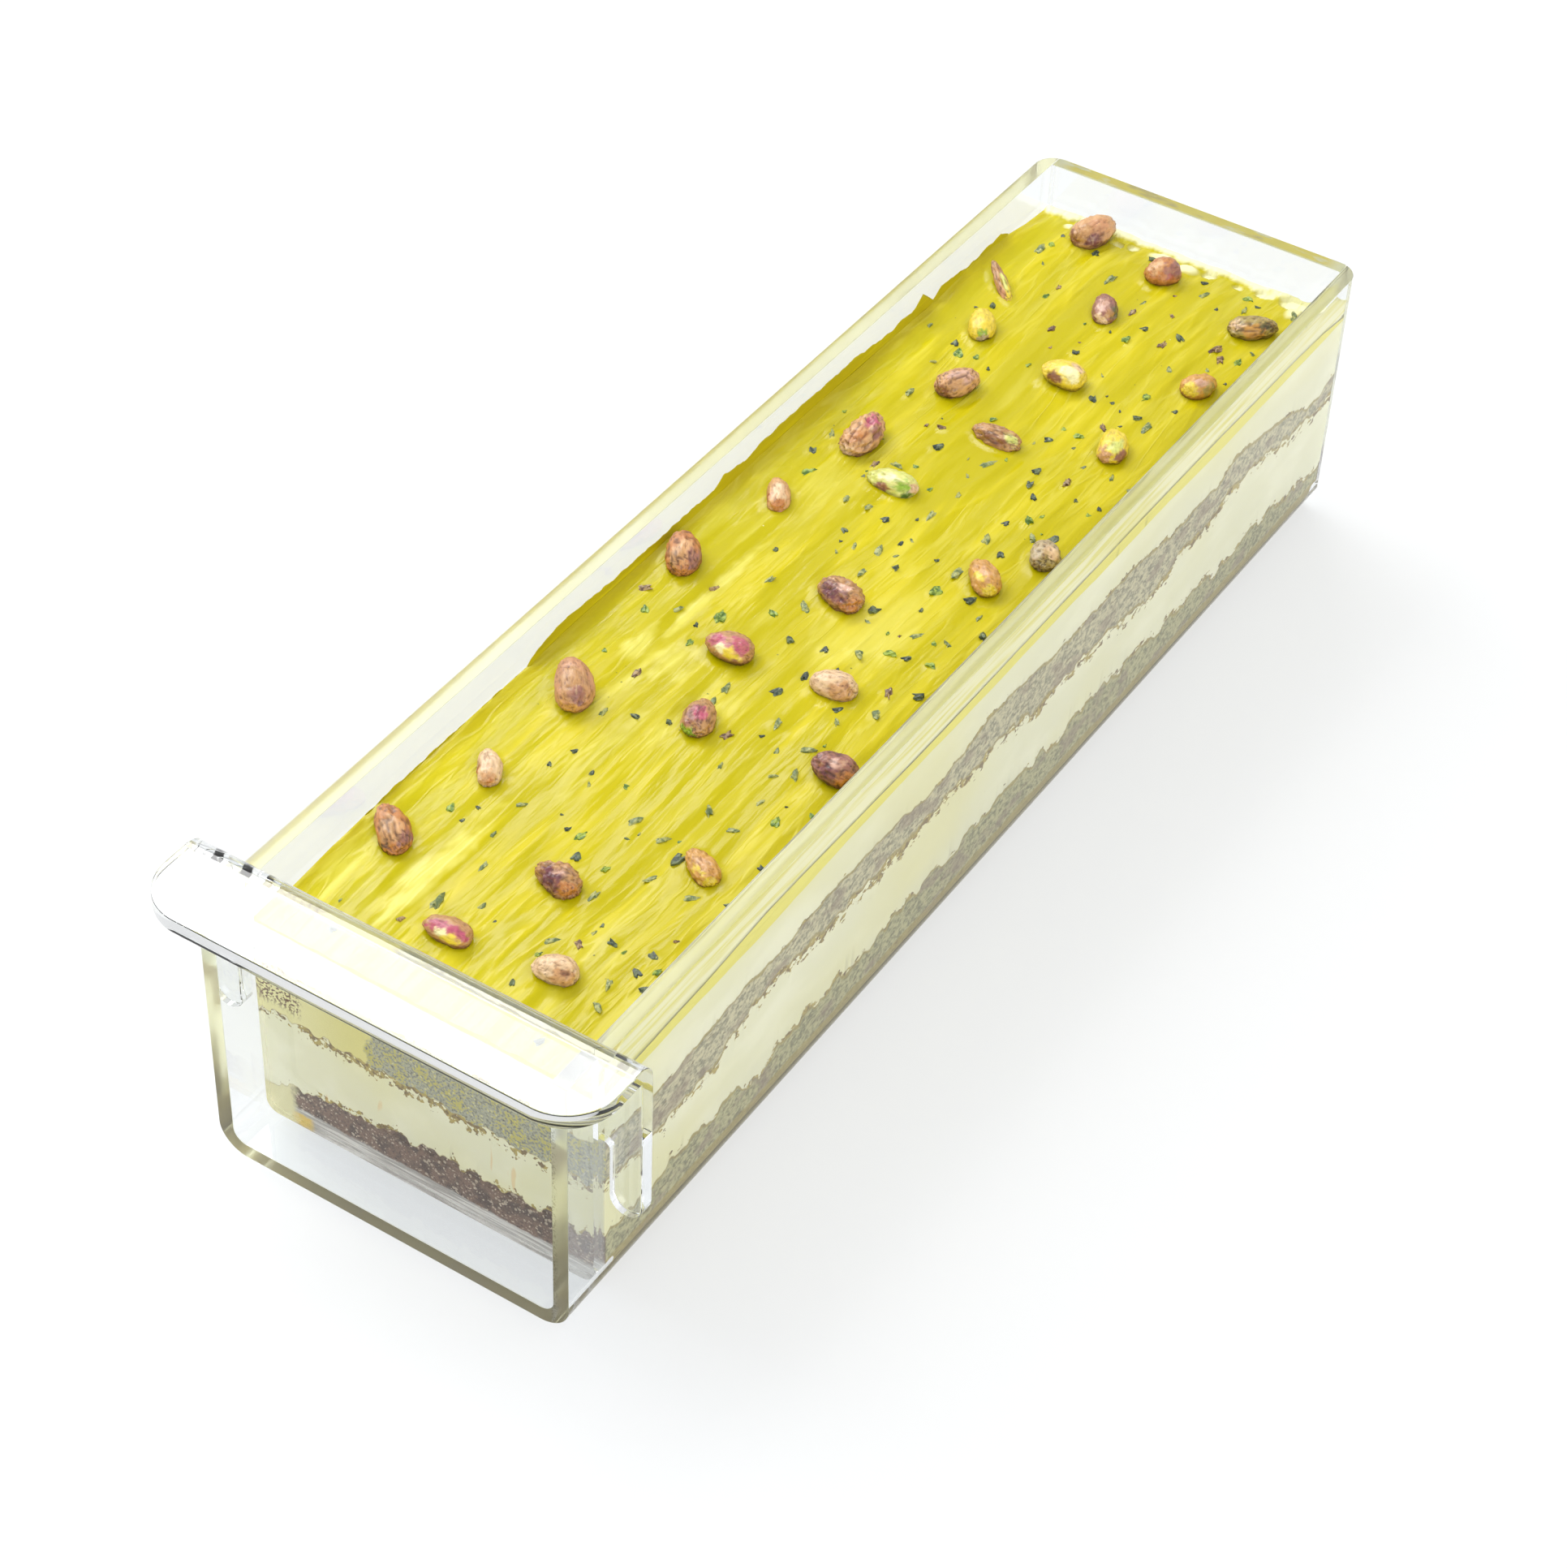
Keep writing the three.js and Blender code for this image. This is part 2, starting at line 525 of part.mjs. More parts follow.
// A closed body between two sheets that share their outer edges in plan.
function layerGeometry(lowSheet, highSheet) {
  const triangles = [];
  coverSheet(triangles, highSheet, true);
  coverSheet(triangles, lowSheet, false);
  const low = edgeLines(lowSheet);
  const high = edgeLines(highSheet);
  coverWall(triangles, low.front, high.front, (p) => new THREE.Vector2(p.x, p.z));
  coverWall(triangles, low.back, high.back, (p) => new THREE.Vector2(-p.x, p.z));
  coverWall(triangles, low.right, high.right, (p) => new THREE.Vector2(p.y, p.z));
  coverWall(triangles, low.left, high.left, (p) => new THREE.Vector2(-p.y, p.z));
  return trianglesGeometry(triangles);
}

// The cake's foot follows the rounded corners inside the tray.
function footSheet() {
  const arc = evenSteps(0, Math.PI / 2, FOOT_ARC_STEPS).map((angle) => [
    CAKE_HALF - FOOT_RADIUS + FOOT_RADIUS * Math.sin(angle),
    FOOT_CENTRE - FOOT_RADIUS * Math.cos(angle),
  ]);
  const right = arc.map(([x, z]) => [x, z]);
  const left = arc.map(([x, z]) => [-x, z]).reverse();
  return [...left, ...right].map(([x, z]) => [
    new THREE.Vector3(x, CAKE_FRONT, z),
    new THREE.Vector3(x, CAKE_BACK, z),
  ]);
}

function raised(height, lift) {
  return (x, y) => height(x, y) + lift;
}

function cakeLayer(lowHeight, highHeight) {
  const low = sheetPoints(LAYER_X, LAYER_Y, raised(lowHeight, GAP / 2));
  const high = sheetPoints(LAYER_X, LAYER_Y, raised(highHeight, -GAP / 2));
  return layerGeometry(low, high);
}

function lowerSpongeGeometry() {
  const high = sheetPoints(LAYER_X, LAYER_Y, raised(lowerSpongeTop, -GAP / 2));
  return layerGeometry(footSheet(), high);
}

// Kernels

// How far a kernel's skin is from its axis, as a share of its half width.
function kernelGirth(share, form) {
  const round = Math.sqrt(Math.max(0, 1 - Math.abs(share) ** KERNEL_FORMS[form].blunt));
  const beak = 1 - BEAK_SHARE * share;
  return round * beak;
}

// A whole kernel along +Y, point forward, its underside a little flatter than its back.
function kernelGeometry(kernel, index, ringCount, grow) {
  const [, , , length, width, , form] = kernel;
  const random = randomStream(KERNEL_SEED + index * KERNEL_SEED_STEP);
  const halfLength = length / 2 + grow;
  const halfWidth = width / 2 + grow;
  const halfHeight = halfWidth * KERNEL_FORMS[form].height;
  const bow = KERNEL_FORMS[form].bow * (1 + random());
  const phase = random() * 2 * Math.PI;
  const ring = (share) => {
    const points = [];
    for (let j = 0; j < KERNEL_SIDES; j += 1) {
      const angle = (2 * Math.PI * j) / KERNEL_SIDES;
      const wave = 1 + KERNEL_FORMS[form].lump * Math.sin(LUMPS_ROUND * angle + phase + LUMP_TWIST * share);
      const seam = form === 'split' && j === SEAM_SIDE ? SEAM_SHARE : 1;
      const girth = kernelGirth(share, form) * wave * seam;
      const under = Math.sin(angle) < 0 ? UNDERSIDE_SHARE : 1;
      points.push(new THREE.Vector3(
        halfWidth * girth * Math.cos(angle) + bow * (1 - share * share),
        halfLength * share,
        halfHeight * girth * Math.sin(angle) * under,
      ));
    }
    return points;
  };
  const rings = [];
  for (let i = 1; i <= ringCount; i += 1) {
    const angle = Math.PI * (i / (ringCount + 1));
    rings.push(ring(-Math.cos(angle)));
  }
  const tail = new THREE.Vector3(0, -halfLength, 0);
  const tip = new THREE.Vector3(0, halfLength, 0);
  const triangles = [];
  for (let j = 0; j < KERNEL_SIDES; j += 1) {
    const next = (j + 1) % KERNEL_SIDES;
    triangles.push([tail, rings[0][j], rings[0][next]]);
    for (let i = 1; i < rings.length; i += 1) {
      const a = rings[i - 1][j];
      const b = rings[i - 1][next];
      const c = rings[i][next];
      const d = rings[i][j];
      triangles.push([a, c, b], [a, d, c]);
    }
    triangles.push([tip, rings[rings.length - 1][next], rings[rings.length - 1][j]]);
  }
  return trianglesGeometry(triangles);
}

// Where a kernel lies: turned on the glaze, its far end raised, sunk a little way in.
function kernelPlace(kernel) {
  const [across, along, turn, length, width, rise] = kernel;
  const tilt = THREE.MathUtils.degToRad(rise);
  const under = (width / 2) * KERNEL_HEIGHT_SHARE * UNDERSIDE_SHARE;
  const seat = glazeTop(across, along) + under - KERNEL_SINK;
  const lift = (length / 2) * Math.sin(tilt) * TILT_LIFT_SHARE;
  return new THREE.Matrix4()
    .makeTranslation(across, along, seat + lift)
    .multiply(new THREE.Matrix4().makeRotationZ(THREE.MathUtils.degToRad(turn)))
    .multiply(new THREE.Matrix4().makeRotationX(tilt));
}

// Glaze

function glazeColumns() {
  const inner = CAKE_HALF - LIP_STEPS[LIP_STEPS.length - 1];
  const middle = evenSteps(-inner, inner, GLAZE_COLUMNS);
  const edge = LIP_STEPS.slice(0, -1);
  return [...edge.map((step) => -CAKE_HALF + step), ...middle, ...edge.map((step) => CAKE_HALF - step).reverse()];
}

// One chopped bit: a small uneven crumb with flat sides, half sunk in the glaze.
function bitGeometry([across, along, length, turn], random) {
  const geometry = new THREE.IcosahedronGeometry(length / 2, 0);
  const widthShare = THREE.MathUtils.lerp(...BIT_WIDTH_SHARES, random());
  const halfHeight = THREE.MathUtils.lerp(...BIT_HALF_HEIGHTS, random());
  geometry.scale(widthShare, 1, halfHeight / (length / 2));
  geometry.rotateX(THREE.MathUtils.lerp(-BIT_LEAN, BIT_LEAN, random()));
  geometry.rotateZ(THREE.MathUtils.degToRad(turn));
  geometry.translate(across, along, glazeTop(across, along) + BIT_RISE);
  return geometry;
}

function largestBody(solid) {
  const bodies = solid.decompose();
  return bodies.reduce((best, body) => (body.volume() > best.volume() ? body : best));
}

function glazeGeometry() {
  const low = sheetPoints(LAYER_X, LAYER_Y, raised(glazeFoot, GAP / 2));
  const high = sheetPoints(glazeColumns(), evenSteps(CAKE_FRONT, CAKE_BACK, GLAZE_ROWS), glazeTop);
  let glaze = solidOf(layerGeometry(low, high));
  const random = randomStream(BIT_SEED);
  for (const bit of BITS) glaze = glaze.add(solidOf(bitGeometry(bit, random)));
  KERNELS.forEach((kernel, index) => {
    const hollow = kernelGeometry(kernel, index, HOLLOW_RINGS, HOLLOW_GAP);
    hollow.applyMatrix4(kernelPlace(kernel));
    glaze = glaze.subtract(solidOf(hollow));
  });
  return geometryOf(largestBody(glaze));
}

// The whole cake

const tray = new THREE.Group();
tray.add(namedMesh('tray_channel', channelGeometry(), ACRYLIC));
tray.add(namedMesh('tray_front_panel_grip', panelGeometry(), ACRYLIC));
tray.add(namedMesh('tray_back_wall', backWallGeometry(), ACRYLIC));

const cake = new THREE.Group();
cake.add(namedMesh('sponge_lower', lowerSpongeGeometry(), BROWN_SPONGE));
cake.add(namedMesh('cream_lower', cakeLayer(lowerSpongeTop, upperSpongeFoot), CREAM));
cake.add(namedMesh('sponge_upper', cakeLayer(upperSpongeFoot, upperSpongeTop), SPONGE));
cake.add(namedMesh('cream_upper', cakeLayer(upperSpongeTop, glazeFoot), CREAM));
cake.add(namedMesh('pistachio_glaze', glazeGeometry(), GLAZE));

KERNELS.forEach((kernel, index) => {
  const form = kernel[6];
  const name = `kernel_${String(index + 1).padStart(2, '0')}`;
  const finish = [KERNEL_COLOURS[form], KERNEL_ROUGHNESS, 0];
  const mesh = namedMesh(name, kernelGeometry(kernel, index, KERNEL_RINGS, 0), finish);
  mesh.applyMatrix4(kernelPlace(kernel));
  cake.add(mesh);
});

const barCake = new THREE.Group();
barCake.add(tray, cake);
for (const group of [tray, cake]) group.position.y = -TRAY_LENGTH / 2;

export default barCake;
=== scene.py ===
"""The looks of a pistachio bar cake in its clear tray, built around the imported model."""

import itertools
import math

import bmesh
import bpy
import numpy as np
from bpy.props import FloatProperty, FloatVectorProperty, IntProperty, PointerProperty
from bpy.types import Operator, Panel, PropertyGroup
from mathutils import Matrix, Vector
from mathutils.bvhtree import BVHTree
from mathutils.geometry import delaunay_2d_cdt


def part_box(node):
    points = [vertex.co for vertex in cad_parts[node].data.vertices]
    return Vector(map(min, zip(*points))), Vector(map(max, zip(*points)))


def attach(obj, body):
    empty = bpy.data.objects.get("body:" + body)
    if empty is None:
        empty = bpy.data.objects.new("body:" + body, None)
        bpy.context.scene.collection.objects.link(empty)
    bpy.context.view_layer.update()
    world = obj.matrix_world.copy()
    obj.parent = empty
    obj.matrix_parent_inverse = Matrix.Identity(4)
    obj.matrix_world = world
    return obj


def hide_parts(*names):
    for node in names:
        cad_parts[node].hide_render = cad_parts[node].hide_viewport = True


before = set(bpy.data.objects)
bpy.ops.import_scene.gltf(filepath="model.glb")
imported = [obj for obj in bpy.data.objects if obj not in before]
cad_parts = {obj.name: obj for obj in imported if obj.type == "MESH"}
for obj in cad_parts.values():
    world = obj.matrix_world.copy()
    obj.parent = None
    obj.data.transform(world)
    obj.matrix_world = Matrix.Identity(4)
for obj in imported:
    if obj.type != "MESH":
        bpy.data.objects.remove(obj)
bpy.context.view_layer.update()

bl_info = {
    "name": "Pistachio Bar Cake",
    "version": (1, 0, 0),
    "blender": (4, 5, 0),
    "location": "View3D > Sidebar > Bar Cake",
    "description": "Builds a pistachio bar cake in a clear tray around its packed model",
    "category": "Object",
}

MM = 0.001
BODY = "root"
GLAZE = "pistachio_glaze"
KERNELS = sorted(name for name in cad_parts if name.startswith("kernel_"))
FRONT_NODE = "tray_front_panel_grip"
TRAY_NODES = ("tray_channel", FRONT_NODE, "tray_back_wall")


def colour(red, green, blue):
    """A display colour, 0 to 255, as the linear colour that Blender works in."""
    linear = []
    for part in (red, green, blue):
        share = part / 255
        linear.append(share / 12.92 if share <= 0.04045 else ((share + 0.055) / 1.055) ** 2.4)
    return tuple(linear)


# The room inside the tray, from the frame: food reaches a little way into the sheet.
INTO_WALL = 0.1 * MM
GLAZE_LOW, GLAZE_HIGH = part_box(GLAZE)
GAP = 0.3 * MM
INSIDE_HALF = GLAZE_HIGH.x + GAP
FOOD_HALF = INSIDE_HALF + INTO_WALL
FOOD_FRONT = GLAZE_LOW.y - GAP - INTO_WALL
FOOD_BACK = GLAZE_HIGH.y + GAP + INTO_WALL
FLOOR_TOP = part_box("tray_back_wall")[0].z - GAP
BEND_INSIDE = 4.5 * MM

# Steps of the food's outline, and of the coarse points inside it.
STEP_ACROSS = 0.6 * MM
STEP_ALONG = 0.9 * MM
STEP_INSIDE = 9 * MM
SAME_POINT = 0.001 * MM
WALL_ROWS = 3
BEND_STEPS = 6


# Random shapes

class Grain:
    """Seeded gradient noise over points, from about -1 to 1."""

    SIZE = 256

    def __init__(self, seed):
        random = np.random.default_rng(seed)
        order = random.permutation(self.SIZE)
        self.order = np.concatenate([order, order])
        slopes = random.normal(size=(self.SIZE, 3))
        self.slopes = slopes / np.linalg.norm(slopes, axis=1)[:, None]

    def at(self, points):
        points = np.atleast_2d(np.asarray(points, float))
        cell = np.floor(points).astype(int)
        part = points - cell
        ease = part * part * part * (part * (part * 6 - 15) + 10)
        total = np.zeros(len(points))
        for corner in itertools.product((0, 1), repeat=3):
            index = (cell + corner) % self.SIZE
            mixed = self.order[self.order[self.order[index[:, 0]] + index[:, 1]] + index[:, 2]]
            slope = np.einsum("ij,ij->i", self.slopes[mixed], part - corner)
            weight = np.where(np.array(corner) == 1, ease, 1 - ease).prod(axis=1)
            total += weight * slope
        return total * 1.6

    def layered(self, points, octaves=4, fade=0.5):
        points = np.atleast_2d(np.asarray(points, float))
        total = np.zeros(len(points))
        for octave in range(octaves):
            total += fade ** octave * self.at(points * 2 ** octave + 17.3 * octave)
        return total


def smooth(value, low, high):
    """0 below low, 1 above high, eased between; low may be the larger."""
    share = np.clip((value - low) / (high - low), 0, 1)
    return share * share * (3 - 2 * share)


def flat_points(x, y):
    return np.stack([x, y, np.zeros(len(x))], axis=1)


def in_cells(x, y, width, length, shift=0):
    """Places counted in cells of a width and a length in millimetres, to read noise at."""
    return flat_points(x / (width * MM) + shift, y / (length * MM))


# Reading the frame

def node_points(name):
    """The CAD node's corners, each once."""
    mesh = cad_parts[name].data
    points = np.array([vertex.co for vertex in mesh.vertices])
    return np.unique(np.round(points, 7), axis=0)


class Skin:
    """The height of a node's top or foot over the plan."""

    EDGE = 0.05 * MM

    def __init__(self, node, from_above):
        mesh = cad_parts[node].data
        faces = [tuple(face.vertices) for face in mesh.polygons]
        self.surface = BVHTree.FromPolygons([vertex.co for vertex in mesh.vertices], faces)
        self.low, self.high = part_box(node)
        self.start = 1 if from_above else -1

    def height(self, x, y):
        x = min(max(x, self.low.x + self.EDGE), self.high.x - self.EDGE)
        y = min(max(y, self.low.y + self.EDGE), self.high.y - self.EDGE)
        return self.surface.ray_cast(Vector((x, y, self.start)), Vector((0, 0, -self.start)))[0].z


# Pieces

def finish_piece(piece, material, nodes=()):
    """Gives a finished piece its material and body, and hides the nodes that it stands for."""
    piece.data.materials.clear()
    piece.data.materials.append(material)
    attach(piece, BODY)
    if nodes:
        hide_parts(*nodes)
    return piece


def corners_kept(mesh, degrees=50):
    """Shades a mesh smooth but for its edges sharper than an angle."""
    mesh.set_sharp_from_angle(angle=math.radians(degrees))
    return mesh


def merged(node):
    """A node's triangles, to be worked on, with the corners that they share made one."""
    build = bmesh.new()
    build.from_mesh(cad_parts[node].data)
    bmesh.ops.remove_doubles(build, verts=build.verts, dist=SAME_POINT)
    return build


def built(build, mesh):
    """The mesh with the finished build in it."""
    build.to_mesh(mesh)
    build.free()
    return mesh


def add_object(name, mesh):
    piece = bpy.data.objects.new(name, mesh)
    bpy.context.scene.collection.objects.link(piece)
    return piece


def mesh_from(name, points, faces, attributes=None, is_smooth=True):
    """A mesh from points and faces, with numbers or colours kept at its points."""
    mesh = bpy.data.meshes.new(name)
    mesh.from_pydata([tuple(point) for point in points], [], [tuple(face) for face in faces])
    for label, values in (attributes or {}).items():
        values = np.asarray(values, np.float32)
        if values.ndim == 1:
            mesh.attributes.new(label, "FLOAT", "POINT").data.foreach_set("value", values)
        else:
            opaque = np.concatenate([values, np.ones((len(values), 1), np.float32)], axis=1)
            layer = mesh.attributes.new(label, "FLOAT_COLOR", "POINT")
            layer.data.foreach_set("color", opaque.ravel())
    mesh.polygons.foreach_set("use_smooth", [is_smooth] * len(mesh.polygons))
    mesh.update()
    return mesh


def modifiers_applied(piece):
    """The piece as a plain mesh, with what its modifiers do made part of it."""
    evaluated = piece.evaluated_get(bpy.context.evaluated_depsgraph_get())
    mesh = bpy.data.meshes.new_from_object(evaluated)
    piece.modifiers.clear()
    old = piece.data
    piece.data = mesh
    bpy.data.meshes.remove(old)
    mesh.name = piece.name
    return piece


def modified(piece, label, kind, **settings):
    """The piece with one modifier added and made part of it."""
    modifier = piece.modifiers.new(label, kind)
    for name, value in settings.items():
        setattr(modifier, name, value)
    return modifiers_applied(piece)


# Node trees

class Value:
    """A node's output that can stand in a formula."""

    def __init__(self, tree, socket):
        self.tree = tree
        self.socket = socket

    def __add__(self, other):
        return self.tree.math("ADD", self, other)

    def __sub__(self, other):
        return self.tree.math("SUBTRACT", self, other)

    def __rsub__(self, other):
        return self.tree.math("SUBTRACT", other, self)

    def __mul__(self, other):
        return self.tree.math("MULTIPLY", self, other)

    __radd__ = __add__
    __rmul__ = __mul__

    def rise(self, low, high):
        """0 where the value is low, 1 where it is high, eased between."""
        if low > high:
            return 1 - self.rise(high, low)
        sockets = {"Value": self, "From Min": low, "From Max": high}
        return self.tree.made("ShaderNodeMapRange", "Result", sockets, interpolation_type="SMOOTHSTEP")

    def under(self, share, tint, blend="MIX"):
        """This colour with a share of another over it."""
        return self.tree.mix(share, self, tint, blend)


class Tree:
    """A node tree under construction."""

    def __init__(self, tree):
        self.tree = tree

    def node(self, kind, sockets=None, **settings):
        """A node of a kind, its settings made first, then its sockets set or linked."""
        node = self.tree.nodes.new(kind)
        for name, setting in settings.items():
            setattr(node, name, setting)
        for name, value in (sockets or {}).items():
            socket = next(s for s in node.inputs if name in (s.identifier, s.name))
            if isinstance(value, Value):
                self.tree.links.new(value.socket, socket)
            elif socket.type == "RGBA":
                socket.default_value = (*value[:3], 1)
            else:
                socket.default_value = value
        return node

    def out(self, node, name):
        return Value(self, next(s for s in node.outputs if name in (s.identifier, s.name)))

    def made(self, kind, output, sockets=None, **settings):
        """One output of a new node."""
        return self.out(self.node(kind, sockets, **settings), output)

    def math(self, operation, *values):
        sockets = dict(zip(("Value", "Value_001"), values))
        return self.made("ShaderNodeMath", "Value", sockets, operation=operation)

    def vectors(self, operation, *values):
        sockets = dict(zip(("Vector", "Vector_001", "Vector_002"), values))
        return self.made("ShaderNodeVectorMath", "Vector", sockets, operation=operation)


class Shader(Tree):
    """A material under construction."""

    def __init__(self, name):
        self.material = bpy.data.materials.new(name)
        self.material.use_nodes = True
        super().__init__(self.material.node_tree)
        self.tree.nodes.clear()
        self.place = self.made("ShaderNodeTexCoord", "Object")

    def drawn_out(self, stretch=(1, 1, 1)):
        """The place in millimetres, for patterns drawn out along each axis."""
        return self.vectors("MULTIPLY", self.place, tuple(1 / part / MM for part in stretch))

    def noise(self, output, size, detail, stretch, shift, rough=0.5):
        sockets = {"Vector": self.drawn_out(stretch), "W": shift, "Scale": 1 / size, "Detail": detail,
                   "Roughness": rough}
        return self.made("ShaderNodeTexNoise", output, sockets, noise_dimensions="4D")

    def grain(self, size, detail=3.0, stretch=(1, 1, 1), shift=0.0, rough=0.5):
        """Soft noise from 0 to 1 with features of a size in millimetres."""
        return self.noise("Fac", size, detail, stretch, shift, rough)

    def bend_patterns(self, size, reach, shift):
        """From here on, patterns follow a place bent sideways by slow noise, in millimetres."""
        noise = self.noise("Color", size, 1.0, (1, 1 / 0.7, 1), shift)
        swing = reach * MM
        offset = self.vectors("MULTIPLY_ADD", noise, (2 * swing, 0, 0), (-swing, 0, 0))
        self.place = self.vectors("ADD", self.place, offset)

    def pores(self, size, shift):
        """Distance to scattered points a size in millimetres apart, 0 at each point."""
        sockets = {"Vector": self.drawn_out(), "W": shift, "Scale": 1 / size}
        return self.made("ShaderNodeTexVoronoi", "Distance", sockets, voronoi_dimensions="4D")

    def axis(self, name):
        """One object coordinate, in millimetres."""
        return self.made("ShaderNodeSeparateXYZ", name, {"Vector": self.place}) * (1 / MM)

    def kept(self, name, output="Fac"):
        """What is kept at the mesh's points: a number, or the output Color."""
        return self.made("ShaderNodeAttribute", output, attribute_name=name)

    def mix(self, share, first, second, blend="MIX"):
        sockets = {"Factor_Float": share, "A_Color": first, "B_Color": second}
        return self.made("ShaderNodeMix", "Result_Color", sockets, data_type="RGBA", blend_type=blend,
                         clamp_factor=True)

    def bump(self, height, distance):
        """A surface normal from a height, whose full swing is a distance in millimetres."""
        sockets = {"Height": height, "Distance": distance * MM, "Strength": 1.0}
        return self.made("ShaderNodeBump", "Normal", sockets)

    def surface(self, **sockets):
        """The food's or tray's own shader, with its sockets' names in plain capitals."""
        named = {name.replace("_", " "): value for name, value in sockets.items()}
        return self.made("ShaderNodeBsdfPrincipled", "BSDF", named)

    def done(self, surface=None, **sockets):
        """The material, ended by a surface or by the sockets of its own shader."""
        self.node("ShaderNodeOutputMaterial", {"Surface": surface or self.surface(**sockets)})
        return self.material


def shaded(tint, share, lift=0.0):
    """A colour made darker or lighter."""
    return tuple(min(1, part * share + lift) for part in tint)


# Settings that a user would change

def paint(name, description, default):
    return FloatVectorProperty(
        name=name, description=description, default=default, size=3, min=0, max=1, subtype="COLOR")


def measure(name, description, default, low, high):
    """A length setting, given in millimetres."""
    return FloatProperty(
        name=name, description=description, default=default * MM, min=low * MM, max=high * MM,
        subtype="DISTANCE", unit="LENGTH")


def amount(name, description, default, high, **kind):
    return FloatProperty(name=name, description=description, default=default, min=0, max=high, **kind)


def power(name, description, default):
    return amount(name, description, default, 500, subtype="POWER", unit="POWER")


class CAKE_PG_stage(PropertyGroup):
    table_colour: paint("Light Table", "Colour of the table, which is lit from below", (0.3, 0.303, 0.306))
    table_glow: amount("Table Glow", "Strength of the light from below", 0.58, 5)
    sky: amount("Soft Light", "Strength of the white light all round", 0.85, 5)
    key_power: power("Key Softbox", "Power of the softbox to the left of the tray", 52)
    sheen_power: power("Sheen Softbox", "Power of the softbox that the grip mirrors", 17.5)
    fill_power: power("Fill Softbox", "Power of the wide softbox to the front right", 68)


class CAKE_PG_tray(PropertyGroup):
    edge_round: measure("Edge Round", "How far the polished edges are rounded off", 0.35, 0.1, 1)
    tint: paint("Tint", "Colour of the clear sheet", colour(247, 249, 250))
    rim_tint: paint("Rim Tint", "Colour seen along the sheet through its sawn edges", colour(226, 229, 212))
    rim_rough: amount("Rim Haze", "Roughness of the sheet's sawn edges", 0.28, 1)


class CAKE_PG_layers(PropertyGroup):
    cream: paint("Cream", "Colour of the two creams", colour(231, 229, 197))
    upper_side: paint("Upper Sponge at the Sides", "Its colour against the walls", colour(180, 173, 140))
    lower_side: paint("Lower Sponge at the Sides", "Its colour against the walls", colour(161, 157, 113))
    lower_front: paint("Lower Sponge in Front", "Its colour at its cut ends", colour(124, 98, 82))
    upper_front: paint("Upper Sponge in Front", "Its colour at its cut ends", colour(172, 172, 152))


class CAKE_PG_glaze(PropertyGroup):
    body: paint("Glaze", "Colour of the spread pistachio glaze", (0.545, 0.462, 0.001))
    # Deep streaks: the glaze's own darker tone with painted shade in its troughs; the same colour paints the
    # shade round each kernel.
    deep: paint("Deep Streaks", "Colour of the glaze in its troughs", (0.42, 0.365, 0.001))
    pale: paint("Pale Streaks", "Colour of the streaks where cream shows through", (0.7, 0.64, 0.12))
    ridge: measure("Ridge Height", "Height of the spatula's broad strokes", 0.3, 0, 2)
    ridge_width: measure("Ridge Width", "Usual width of a broad stroke", 9, 1, 20)


class CAKE_PG_smears(PropertyGroup):
    thickness: measure("Thickness", "Thickness of the smears at their foot", 0.6, 0.1, 2)
    ragged: measure("Raggedness", "How far a smear's upper edge strays", 0.7, 0, 4)
    cream: paint("Cream Smear", "Colour of the cream smeared on the right wall", colour(232, 228, 186))


class CAKE_PG_bits(PropertyGroup):
    extra: IntProperty(
        name="Small Bits", description="Number of small bits besides those of the packed model",
        default=180, min=0, max=600)
    smallest: measure("Smallest", "Length of the smallest bit", 1, 0.5, 5)
    largest: measure("Largest", "Length of the largest small bit", 4.2, 0.5, 8)
    seed: IntProperty(name="Seed", description="Seed of the bits' scatter", default=31, min=0)


class CAKE_PG_kernels(PropertyGroup):
    wrinkle: measure("Wrinkle Depth", "Depth of the wrinkles in the nut skin", 0.36, 0, 1)


# The tray

# Painted reflection: the glaze's yellow and brown as seen through the back wall's sawn edge.
RIM_GLAZE_SEEN = colour(226, 206, 70)
RIM_BROWN_SEEN = colour(176, 160, 96)
SAWN_LINE = colour(128, 126, 98)
ACRYLIC_IOR = 1.49
# Across the tray in millimetres: the glaze seen through the back wall's sawn edge, painted on as a
# reflection, and the sawn lines, each from none to full.
BACK_GLAZE_SEEN = (54.0, 47.0)
LINES_OUTSIDE = (57.2, 55.4)
LINES_INSIDE = (54.0, 54.9)
FLAT = math.radians(0.5)
CUT_EDGE = math.radians(40)
BEND_DEGREES = 24


